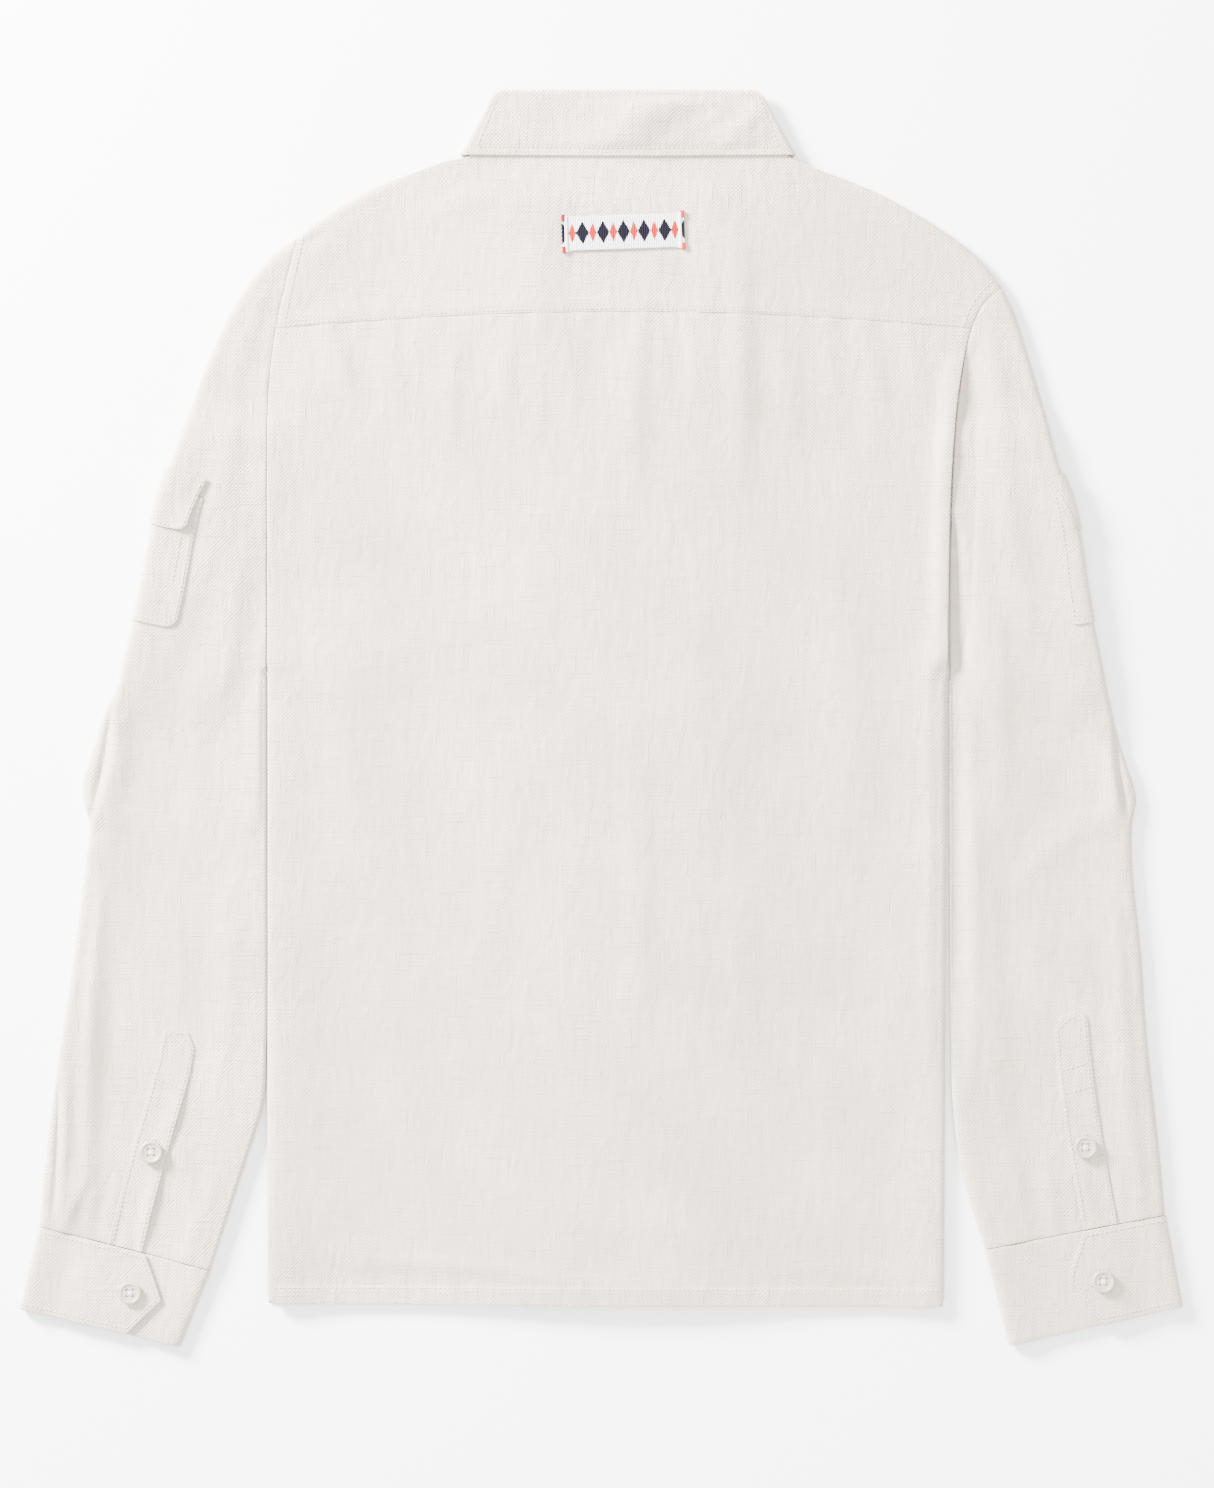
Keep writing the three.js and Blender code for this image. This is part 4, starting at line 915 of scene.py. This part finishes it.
def leafSurface(way, up):
    c = collarShape
    foot = collarEdge(way, c["leafBackY"], c["leafSide"], c["leafSideY"], c["frontLeaf"])
    head = collarEdge(way, c["topY"], c["leafTopSide"], c["topY"], c["frontLeafTop"])
    fromFold = np.abs(np.abs(way) - 0.5) * 2 * c["leafSide"]
    head[..., 1] -= cornerDrop(fromFold, c["cornerRadius"])
    rising = (head - foot) / np.linalg.norm(head - foot, axis=-1, keepdims=True)
    plan = mix(foot, head, np.minimum(up, 1)[..., None])
    inFront = np.abs(way) > 0.5
    z = collarHeight(fromFold, inFront, c["leafLevels"])
    # above one, up turns the edge over in a quarter circle
    turn = np.maximum(0, up - 1) * math.pi / 2
    hooked = np.where(inFront, 0, smoothstep(fromFold, 3, 12))
    plan = plan + rising * (c["hook"] * np.sin(turn))[..., None]
    z = z - hooked * c["hook"] * (1 - np.cos(turn))
    x, y = plan[..., 0], plan[..., 1]
    level = np.clip(up, 0, 1)
    soft = ripple(x, *puckers["leafWave"]) * np.sin(math.pi * level)
    soft += ripple(x, *puckers["leaf"]) * bell(level - 0.16, 0.08)
    soft -= c["groove"] * bell(level - c["grooveAt"], c["grooveWidth"])
    soft += creaseHeight(leafSoft, x, y) * smoothstep(level, 0, 0.25) * (1 - smoothstep(up, 0.8, 1))
    return withHeight(plan, z + np.where(inFront, 0, soft * smoothstep(fromFold, 2, 14)))


leafUp = spread((0, 0.2, 12), (0.2, 0.85, 20), (0.85, 1, 6), (1, 2, 8))
place(gridMesh("collar-leaf", gridOf(leafSurface, ways, leafUp), cloth["collar"]), ["collar_leaf"])

print("stage 6: sleeves")

ringEdge = spread((0, 0.04, 6), (0.04, 0.16, 9))
ringTop = np.concatenate([ringEdge, np.linspace(0.16, 0.84, 40)[1:-1], 1 - ringEdge[::-1]])
ringUnder = 2 + np.concatenate([ringEdge, np.linspace(0.16, 0.84, 20)[1:-1], 1 - ringEdge[::-1]])
for key, sleeve in sleeves.items():
    points = gridOf(sleeve.around, np.concatenate([ringTop, ringUnder]), np.linspace(0, 1, 220))
    place(gridMesh(f"{key}-sleeve", points, cloth["thickness"], ring=True, edge=0.15), [f"{key}_sleeve"])

print("stage 7: pockets, flaps, cuffs and plackets")

patches = {
    # above and below: how far the patch reaches in from the outer fold on each face of the sleeve;
    # taper: the share of above that is left at its lower end; lift: how far its free corner stands up
    "left-pocket": {"sleeve": "left", "topY": 142, "bottomY": 61, "above": 26, "below": 57, "corner": 7,
                    "layer": 1, "taper": 1.0, "lift": 0.3},
    "right-pocket": {"sleeve": "right", "topY": 142, "bottomY": 60, "above": 11, "below": 64, "corner": 4,
                     "layer": 1, "taper": 1.25, "lift": 0.2},
    "left-flap": {"sleeve": "left", "topY": 155, "bottomY": 120.5, "above": 24.5, "below": 57, "corner": 6,
                  "layer": 2, "taper": 0.82, "lift": 1.9},
    "right-flap": {"sleeve": "right", "topY": 151, "bottomY": 117, "above": 10.5, "below": 65, "corner": 2,
                   "layer": 2, "taper": 0.35, "lift": 1.4},
}


# How far the middle of a patch's cloth lies out from the middle of the sleeve's
def patchHeight(size):
    return (cloth["thickness"] - cloth["patch"]) / 2 + size["layer"] * (cloth["patch"] + cloth["patchGap"])


def wrappedSurface(size):
    sleeve = sleeves[size["sleeve"]]
    start, end = sleeve.outer.shareAtY(size["topY"]), sleeve.outer.shareAtY(size["bottomY"])

    def surface(signed, along):
        reach = np.where(signed > 0, size["above"], size["below"])
        toCorner = (1 - along) * (end - start) * sleeve.outer.length
        rounded = cornerDrop(toCorner, size["corner"]) * (signed / reach) ** 4
        tapered = np.where(signed > 0, mix(1, size["taper"], np.clip(along, 0, 1) ** 0.8), 1)
        at = sleeve.wrapped(signed * tapered - np.sign(signed) * rounded, mix(start, end, along), start, end)
        # only the outer corner of the lower edge is free to lift
        free = smoothstep(signed, 0.45 * size["above"], size["above"]) * smoothstep(along, 0.25, 0.9)
        at[..., 2] += size["lift"] * free
        return at
    return surface


for name, size in patches.items():
    fold = np.array([0.5, 1.0, 1.6, 2.4, 3.4, 4.6, 6.0])
    signed = np.concatenate([-np.linspace(size["below"], 7.5, 18), -fold[::-1], [0], fold,
                             np.linspace(7.5, size["above"], 8)])
    points = gridOf(wrappedSurface(size), signed, spread((0, 0.88, 24), (0.88, 1, 12)))
    normal = normalsOf(points)
    if normal[:, -1, 2].mean() < 0:
        normal = -normal
    points = points + normal * patchHeight(size)
    place(gridMesh(name, points, cloth["patch"], faceUp=False), [name.replace("-", "_")])

# underlapEnd: the share across where the covered end stops; the pointed end is lifted from there inwards
cuffRule = {"spacing": 2.4, "foldSpacing": 4.2, "radius": 5.0, "reach": 14.0, "width": 108.0,
            "lift": 2.2, "underlapEnd": 0.4, "liftFrom": 0.26, "liftTo": 0.02}
cuffShapes = {
    "left": {"seamOuter": (-348, -314.5), "seamInner": (-243, -341.5), "edgeOuter": (-360, -365.5),
             "edgeInner": (-262, -388.5), "atSeam": 0.62, "atPoint": 0.8, "atEdge": 0.67, "pointAt": 0.5,
             "button": (-292, -355)},
    "right": {"seamOuter": (348.5, -307.5), "seamInner": (238, -328.5), "edgeOuter": (359, -364),
              "edgeInner": (253, -388), "atSeam": 0.46, "atPoint": 0.6, "atEdge": 0.47, "pointAt": 0.45,
              "button": (310, -348)},
}


def cuffHeights(share):
    rule = cuffRule
    fromFold = np.minimum(share, 1 - share) * rule["width"]
    inner = np.maximum(fromFold, rule["radius"]) - rule["radius"]
    spacing = rule["spacing"] + (rule["foldSpacing"] - rule["spacing"]) * bell(inner, rule["reach"])
    rise = roundEdge(fromFold / rule["radius"])
    base = cloth["cuff"] / 2
    return base + spacing / 2 * (1 - rise), base + spacing / 2 * (1 + rise)


# Across runs 0 to 1 from the pointed end to the outer fold, 2 to 3 along the underside, and 4 to 5 back
# over the top to the end that the pointed one covers
def cuffSurface(shape):
    seamOuter, seamInner, edgeOuter, edgeInner = (
        np.array(shape[name], float) for name in ("seamOuter", "seamInner", "edgeOuter", "edgeInner"))
    underlap = cuffRule["underlapEnd"]

    def surface(across, along):
        step = across % 2
        step = np.where(np.isclose(step, 0) & (across > 0) & (across < 2), 0, step)
        end = np.interp(along, [0, shape["pointAt"], 1], [shape["atSeam"], shape["atPoint"], shape["atEdge"]])
        covered = np.where(across >= 4, 1 - (1 - underlap) * step, step)
        share = np.where(across <= 1, end * (1 - step), covered)
        s, t = share[..., None], along[..., None]
        plan = mix(mix(seamOuter, seamInner, s), mix(edgeOuter, edgeInner, s), t)
        low, high = cuffHeights(share)
        z = np.where((across >= 2) & (across <= 3), low, high)
        over = smoothstep(share, underlap - cuffRule["liftFrom"], underlap - cuffRule["liftTo"])
        z = z + np.where(across <= 1, cuffRule["lift"] * over, 0)
        return withHeight(plan, z)
    return surface


for key, shape in cuffShapes.items():
    top = np.concatenate([np.linspace(0, 0.93, 50), np.linspace(0.93, 1, 10)[1:]])
    under = 2 + np.concatenate([np.linspace(0, 0.05, 8)[1:], np.linspace(0.05, 0.95, 30)[1:-1],
                                np.linspace(0.95, 1, 8)])
    over = 4 + np.concatenate([np.linspace(0, 0.08, 8)[1:], np.linspace(0.08, 1, 24)[1:]])
    along = np.concatenate([np.linspace(0, shape["pointAt"], 14), np.linspace(shape["pointAt"], 1, 14)[1:]])
    points = gridOf(cuffSurface(shape), np.concatenate([top, under, over]), along)
    place(gridMesh(f"{key}-cuff", points, cloth["cuff"]), [f"{key}_cuff"])

placketRule = {"width": 22.0, "top": 0.77, "point": 0.07}
placketShapes = {
    # lifts: share along, half length and height of each stretch where the free edge stands up
    "left": {"atCuff": 0.5, "atTop": 0.56, "button": (-279, -268), "lean": 1.39,
             "lifts": [(0.38, 0.12, 1.5), (0.79, 0.16, 1.7)]},
    "right": {"atCuff": 0.36, "atTop": 0.38, "button": (299, -265), "lean": 1.62,
              "lifts": [(0.45, 0.12, 0.7), (0.8, 0.15, 0.9)]},
}


def placketSurface(key):
    shape, sleeve = placketShapes[key], sleeves[key]

    def surface(share, along):
        down = mix(placketRule["top"], 1, along)
        centre = mix(shape["atTop"], shape["atCuff"], along)
        ends = sleeve.plan(np.zeros_like(down), down) - sleeve.plan(np.ones_like(down), down)
        width = np.linalg.norm(ends, axis=-1)
        # its upper end comes to a blunt point
        fromTop = np.clip(along / placketRule["point"], 0, 1)
        narrowing = np.minimum(1, 0.5 + 0.5 * np.sin(math.pi / 2 * fromTop))
        at = sleeve.top(centre + (share - 0.5) * placketRule["width"] * narrowing / width, down)
        free = smoothstep(share, 0.45, 1)
        for middle, half, height in shape["lifts"]:
            at[..., 2] += height * free * bell(along - middle, half)
        return at
    return surface


placketHeight = (cloth["thickness"] + cloth["placket"]) / 2 + cloth["patchGap"]  # middle above middle
for key in placketShapes:
    points = gridOf(placketSurface(key), np.linspace(0, 1, 14), spread((0, 0.08, 12), (0.08, 1, 60)))
    normal = normalsOf(points)
    normal *= np.sign(normal[..., 2:].mean())
    points = points + normal * placketHeight
    place(gridMesh(f"{key}-placket", points, cloth["placket"]), [f"{key}_placket"])

print("stage 8: tape, buttons and stitches")

tapeLook = {"middle": (13.0, 301.0), "length": 76.0, "width": 21.0, "turn": math.radians(2), "thickness": 1.0,
            "gap": 0.3, "slack": 0.5,
            "endWider": 3.0, "endWiderReach": 4.0, "endRise": 0.35, "endRiseReach": 1.4}
tapeWeave = {
    "ground": "#dedad9", "lozenge": "#0b0914", "mark": "#a51612", "edge": "#a81a16",
    "repeat": 12.7, "lozengeLong": 4.1, "lozengeHigh": 7.2, "markLong": 2.4, "markHigh": 6.4,
    "rib": 1.1, "ribDepth": 0.25, "thread": 0.55,
    "surface": {"Roughness": 0.8, "Specular IOR Level": 0.1},
}


# Cotton grosgrain, off-white: navy lozenges in a row, with a small red mark between each two. A lozenge
# is where |along| / long + |across| / high is under one, in steps of one thread.
def tapeMaterial():
    look = tapeWeave
    material, tree, shader = newMaterial("grosgrain tape with woven lozenges", look["surface"])
    uv = addNode(tree, "UVMap", {"uv_map": "cloth"})
    inMm = addNode(tree, "VectorMath", {"operation": "SCALE", 0: uv, "Scale": 1 / mm})
    stepped = addNode(tree, "VectorMath", {"operation": "SNAP", 0: inMm, 1: (look["thread"],) * 3})
    parts = addNode(tree, "SeparateXYZ", {"Vector": stepped})
    across = calc(tree, "ABSOLUTE", parts.outputs["Y"])

    def motif(offset, long, high):
        moved = calc(tree, "ADD", parts.outputs["X"], offset)
        folded = calc(tree, "PINGPONG", moved, look["repeat"] / 2)
        total = calc(tree, "MULTIPLY_ADD", across, 1 / high, calc(tree, "MULTIPLY", folded, 1 / long))
        return calc(tree, "LESS_THAN", total, 1.0)

    lozenge = motif(0.0, look["lozengeLong"], look["lozengeHigh"])
    colour = blend(tree, lozenge, look["ground"], look["lozenge"])
    mark = motif(look["repeat"] / 2, look["markLong"], look["markHigh"])
    colour = blend(tree, mark, colour, look["mark"])
    feed(tree, shader.inputs["Base Color"], colour)
    plain = addNode(tree, "SeparateXYZ", {"Vector": inMm})
    ribs = calc(tree, "SINE", calc(tree, "MULTIPLY", plain.outputs["X"], 2 * math.pi / look["rib"]))
    bump = addNode(tree, "Bump", {"Strength": 1.0, "Distance": look["ribDepth"] * mm, "Height": ribs})
    feed(tree, shader.inputs["Normal"], bump)
    return material


def tapeSurface(u, v):
    look = tapeLook
    a = (u - 0.5) * look["length"]
    fromEnd = (0.5 - np.abs(u - 0.5)) * look["length"]
    b = (0.5 - v) * (look["width"] + look["endWider"] * bell(fromEnd, look["endWiderReach"]))
    turn = look["turn"]
    x = look["middle"][0] + a * math.cos(turn) - b * math.sin(turn)
    y = look["middle"][1] + a * math.sin(turn) + b * math.cos(turn)
    high = bodyLayers(x, y)[1] + cloth["thickness"] / 2 + look["gap"] + look["thickness"] / 2
    high += look["slack"] * smoothstep(fromEnd, 4, 12) * (1 - (2 * v - 1) ** 2 * 0.5)
    high += look["endRise"] * bell(fromEnd, look["endRiseReach"])
    return withHeight(np.stack([x, y], axis=-1), high)


points = gridOf(tapeSurface, np.linspace(0, 1, 90), np.linspace(0, 1, 20))
tape = gridMesh("loop-tape", points, tapeLook["thickness"], material=tapeMaterial(), grain=tapeLook["turn"],
                origin=tapeLook["middle"])
place(tape, ["loop_tape"], "woven_tape")

buttonLook = {
    "radius": 7.0, "thickness": 2.8, "rim": 1.3, "dish": 0.55, "slope": 1.2, "round": 0.7, "roundDrop": 0.45,
    "hole": 0.9, "holeAt": 2.4, "pit": 1.7, "plate": 4.2, "eye": 0.3,  # the plate's rings are the finer ones
    "frontRows": (294, 236, 146, 56, -34, -124, -214),
}


# A turned disc: a profile of radius and height on rings, with four dark-set holes cut as closed pits by
# pushing its top down to the bottom inside each hole's circle
def buttonMesh(name, x, y, z):
    b = buttonLook
    rings, turns = 26, 64
    radii = np.concatenate([np.linspace(b["eye"], b["plate"], 17),
                            np.linspace(b["plate"], b["radius"], rings - 16)[1:]])
    angle = np.linspace(0, 2 * math.pi, turns, endpoint=False)
    r, a = np.meshgrid(radii, angle, indexing="ij")
    px, py = r * np.cos(a), r * np.sin(a)
    rim = b["radius"] - b["rim"]
    rounded = b["roundDrop"] * smoothstep(r, b["radius"] - b["round"], b["radius"])
    top = b["thickness"] - b["dish"] * (1 - smoothstep(r, rim - b["slope"], rim)) - rounded
    for quarter in range(4):
        turn = math.pi / 4 + quarter * math.pi / 2
        d = np.hypot(px - b["holeAt"] * math.cos(turn), py - b["holeAt"] * math.sin(turn))
        top -= b["pit"] * (1 - smoothstep(d, b["hole"] * 0.75, b["hole"] * 1.15))
    count = rings * turns
    vertices = np.concatenate([np.stack([px + x, py + y, top + z], axis=-1).reshape(-1, 3),
                               np.stack([px + x, py + y, rounded + z], axis=-1).reshape(-1, 3)])
    i, j = np.meshgrid(np.arange(rings - 1), np.arange(turns), indexing="ij")
    nextJ = (j + 1) % turns
    face = np.stack([i * turns + j, (i + 1) * turns + j, (i + 1) * turns + nextJ, i * turns + nextJ], axis=-1)
    face = face.reshape(-1, 4)
    below = face[:, ::-1] + count
    k = np.arange(turns)
    last, ahead = (rings - 1) * turns, (k + 1) % turns
    side = np.stack([last + k, count + last + k, count + last + ahead, last + ahead], axis=-1)
    caps = [k.tolist(), (count + k[::-1]).tolist()]
    return meshPiece(name, vertices, np.concatenate([face, below, side]).tolist() + caps, shellMaterial)


# Height of the underside of one of the part's own solids
def restingHeight(node):
    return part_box(node)[0][2] / mm


sleeveButtons = [
    (key, kind, shapes[key]["button"], restingHeight(f"{key}_{kind}_button"))
    for key in ("left", "right") for kind, shapes in (("cuff", cuffShapes), ("placket", placketShapes))
]
for key, kind, (x, y), base in sleeveButtons:
    place(buttonMesh(f"{key}-{kind}-button", x, y, base), [f"{key}_{kind}_button"], "shell_button")
for row, y in enumerate(buttonLook["frontRows"], 1):
    place(buttonMesh(f"front-button-{row}", centreX, y, 0.0), [f"front_button_{row}"], "shell_button")

stitch = {"pitch": 2.9, "long": 2.1, "radius": 0.3, "lift": 0.12}
stitchProfile = np.array([(-0.5, 0.45), (-0.36, 1.0), (0.36, 1.0), (0.5, 0.45)])  # share along, of radius


# Lengths walked along a line of points
def walkAlong(points):
    return np.concatenate([[0], np.cumsum(np.linalg.norm(np.diff(points, axis=0), axis=1))])


# Points of a surface at arrays of u and v, moved out of it along its upward normal
def onSurface(surface, u, v, stepU, stepV, lift):
    at = surface(u, v)
    du = surface(u + stepU, v) - surface(u - stepU, v)
    dv = surface(u, v + stepV) - surface(u, v - stepV)
    normal = np.cross(du, dv)
    normal /= np.maximum(np.linalg.norm(normal, axis=-1, keepdims=True), 1e-9)
    normal *= np.where(normal[..., 2:] < 0, -1, 1)
    return at + normal * lift, normal


# One mesh of short threads: a row of even stitches along each path of points and normals
def threads(name, rows, slot="linen", look=threadMaterial, size=stitch):
    sides, rings = 6, len(stitchProfile)
    turn = np.arange(sides) * 2 * math.pi / sides
    blocks = []
    for points, normals in rows:
        walked = walkAlong(points)
        count = max(int(walked[-1] / size["pitch"]), 1)
        centre = (np.arange(count) + 0.5) * walked[-1] / count
        at, before, after, up = (
            np.stack([np.interp(where, walked, values[:, k]) for k in range(3)], axis=-1)
            for where, values in ((centre, points), (centre - 0.5, points), (centre + 0.5, points),
                                  (centre, normals)))
        ahead = (after - before) / np.linalg.norm(after - before, axis=1, keepdims=True)
        aside = np.cross(ahead, up)
        aside /= np.linalg.norm(aside, axis=1, keepdims=True)
        up = np.cross(aside, ahead)
        along = (at[:, None] + ahead[:, None] * stitchProfile[None, :, :1] * size["long"])[:, :, None]
        wide = size["radius"] * stitchProfile[None, :, None, 1:]
        blocks.append(along + wide * (aside[:, None, None] * np.cos(turn)[None, None, :, None]
                                      + up[:, None, None] * np.sin(turn)[None, None, :, None]))
    vertices = np.concatenate(blocks)
    n, r, c = np.meshgrid(np.arange(len(vertices)), np.arange(rings - 1), np.arange(sides), indexing="ij")
    index = (n * rings + r) * sides
    around = (c + 1) % sides
    quads = np.stack([index + c, index + around, index + sides + around, index + sides + c], axis=-1)
    first = np.arange(len(vertices))[:, None] * rings * sides
    ends = [first + np.arange(sides)[::-1][None], first + (rings - 1) * sides + np.arange(sides)[None]]
    faces = quads.reshape(-1, 4).tolist() + np.concatenate(ends).tolist()
    return place(meshPiece(name, vertices.reshape(-1, 3), faces, look), [], slot)


# One short thread: its two ends and the direction that is up at each
def shortThread(middle, direction, long, up=(0, 0, 1.0)):
    return np.array([middle - direction * long / 2, middle + direction * long / 2]), np.array([up, up])


# A straight row in a surface's own shares, lying on its upper face
def lineOn(surface, start, stop, thickness, steps=160, stepU=0.004, stepV=0.004):
    u = np.linspace(start[0], stop[0], steps)
    v = np.linspace(start[1], stop[1], steps)
    return onSurface(surface, u, v, stepU, stepV, thickness / 2 + stitch["lift"])


def rowsOn(surface, thickness, table):
    return [lineOn(surface, start, stop, thickness, steps) for start, stop, steps in table]


# a worked buttonhole: close stitches on both sides of its slit, and a bar at each end
hole = {"length": 16.0, "step": 0.55, "fromSlit": 0.8, "bar": 2.6}
holeSize = {"pitch": 3.0, "long": 1.5, "radius": 0.34, "lift": 0.18}


def buttonhole(name, surface, centre, angle, thickness):
    u, v = np.meshgrid(np.linspace(0.02, 0.98, 80), np.linspace(0.02, 0.98, 160))
    lying = surface(u, v).reshape(-1, 3)
    ahead = np.array([math.cos(angle), math.sin(angle)])
    aside = np.array([-ahead[1], ahead[0]])
    half = hole["length"] / 2
    spots = [(walked, side * hole["fromSlit"], holeSize["long"])
             for side in (-1, 1) for walked in np.arange(-half, half, hole["step"])]
    spots += [(end * half, 0.0, hole["bar"]) for end in (-1, 1)]
    rows = []
    for walked, offset, long in spots:
        middle = np.array(centre) + ahead * walked + aside * offset
        under = lying[np.argmin(np.hypot(*(lying[:, :2] - middle).T))]
        top = under[2] + thickness / 2 + holeSize["lift"]
        rows.append(shortThread(np.array([*middle, top]), np.array([*aside, 0.0]), long))
    threads(name, rows, size=holeSize)


backLength = 606  # the side of the back panel, whose share above the hem's turn-up holds the stitches
hemShare = 1 - hem["turnUp"] / backLength
threads("back-stitches", rowsOn(backSurface, cloth["thickness"], [
    ((0.008, hemShare), (0.992, hemShare), 300)]))
threads("yoke-stitches", rowsOn(yokeSurface, cloth["thickness"], [
    ((0.01, 0.982), (0.99, 0.982), 300), ((0.012, 0.04), (0.012, 0.97), 80),
    ((0.988, 0.04), (0.988, 0.97), 80)]))
threads("collar-stitches", rowsOn(leafSurface, cloth["collar"], [
    ((-0.46, 0.13), (0.46, 0.13), 200), ((-0.462, 0.14), (-0.462, 0.96), 40),
    ((0.462, 0.14), (0.462, 0.96), 40)]))

cuffInset = {"side": 0.045, "top": 0.05, "bottom": 0.93}
placketRows = [
    ((0.1, 0.05), (0.1, 0.98), 160), ((0.9, 0.05), (0.9, 0.98), 160), ((0.12, 0.05), (0.5, 0.018), 20),
    ((0.5, 0.018), (0.88, 0.05), 20), ((0.1, 0.25), (0.9, 0.25), 20), ((0.1, 0.36), (0.9, 0.36), 20),
]
for key in ("left", "right"):
    shape, surface = cuffShapes[key], cuffSurface(cuffShapes[key])
    inset, top, bottom = cuffInset["side"], cuffInset["top"], cuffInset["bottom"]
    point = (inset * 0.8, shape["pointAt"])
    threads(f"{key}-cuff-stitches", rowsOn(surface, cloth["cuff"], [
        ((0.04, top), (0.97, top), 160), ((0.04, bottom), (0.97, bottom), 160),
        ((inset, top), point, 30), (point, (inset, bottom), 30)]))
    run = np.subtract(shape["seamInner"], shape["seamOuter"])
    angle = math.atan2(run[1], run[0])
    buttonhole(f"{key}-cuff-buttonhole", surface, shape["button"], angle, cloth["cuff"])

    shape, surface = placketShapes[key], placketSurface(key)
    depth = cloth["placket"] + 2 * placketHeight
    buttonhole(f"{key}-placket-buttonhole", surface, shape["button"], shape["lean"], depth)
    threads(f"{key}-placket-stitches", rowsOn(surface, depth, placketRows))

for name, size in patches.items():
    surface = wrappedSurface(size)
    depth = cloth["patch"] + 2 * patchHeight(size)
    inner = size["above"] - 2.0
    rows = [((inner, 0.03), (inner, 0.94), 60)]
    if name == "left-pocket":
        rows.append(((inner - 6, 0.06), (inner - 6, 0.66), 60))
    for row in ((0.95,) if "flap" in name else (0.04, 0.96)):
        rows.append(((3.0, row), (inner, row), 40))
    threads(f"{name}-stitches", [lineOn(surface, start, stop, depth, steps, 0.4, 0.01)
                                 for start, stop, steps in rows])

tack = {"first": 0.3, "pitch": 0.62, "barWide": 1.6, "endWide": 2.4, "over": 0.1}


# A bar tack: threads laid across the line from start to stop, close beside each other
def barTack(start, stop, wide):
    points, normals = lineOn(tapeSurface, start, stop, tapeLook["thickness"] + tack["over"], 60)
    walked = walkAlong(points)
    ahead = points[-1] - points[0]
    normal = normals[len(normals) // 2]
    aside = np.cross(normal, ahead / np.linalg.norm(ahead))
    rows = []
    for along in np.arange(tack["first"], walked[-1], tack["pitch"]):
        at = np.array([np.interp(along, walked, points[:, k]) for k in range(3)])
        rows.append(shortThread(at, aside, wide, normal))
    return rows


redThread = newMaterial("red cotton thread", {
    "Base Color": tapeWeave["edge"], "Roughness": 0.7, "Specular IOR Level": 0.15})[0]
whiteThread = newMaterial("white cotton thread", {"Base Color": "#efecea", "Roughness": 0.65})[0]
tackSize = {"pitch": 2.0, "long": 1.9, "radius": 0.3, "lift": 0.1}
endSize = {"pitch": 3.0, "long": 2.6, "radius": 0.36, "lift": 0.1}
# white bars near both ends of the tape, and red oversewn corners
bars, ends = [], []
for u in (0.036, 0.964):
    bars += barTack((u, 0.03), (u, 0.97), tack["barWide"])
for u in (0.012, 0.988):
    for top, bottom in ((0.0, 0.17), (0.83, 1.0)):
        ends += barTack((u, top), (u, bottom), tack["endWide"])
threads("tape-tacks", bars, "woven_tape", whiteThread, tackSize)
threads("tape-ends", ends, "woven_tape", redThread, endSize)

# thread crossing each cuff and placket button
crossing = {"height": 2.25, "pitch": 4.8, "long": 4.6, "radius": 0.32, "lift": 0.0}
for key, kind, (x, y), base in sleeveButtons:
    middle = np.array([x, y, base + crossing["height"]])
    rows = [shortThread(middle, np.array([math.cos(turn), math.sin(turn), 0.0]), 2 * buttonLook["holeAt"])
            for turn in (math.pi / 4, 3 * math.pi / 4)]
    threads(f"{key}-{kind}-button-thread", rows, "shell_button", whiteThread, crossing)
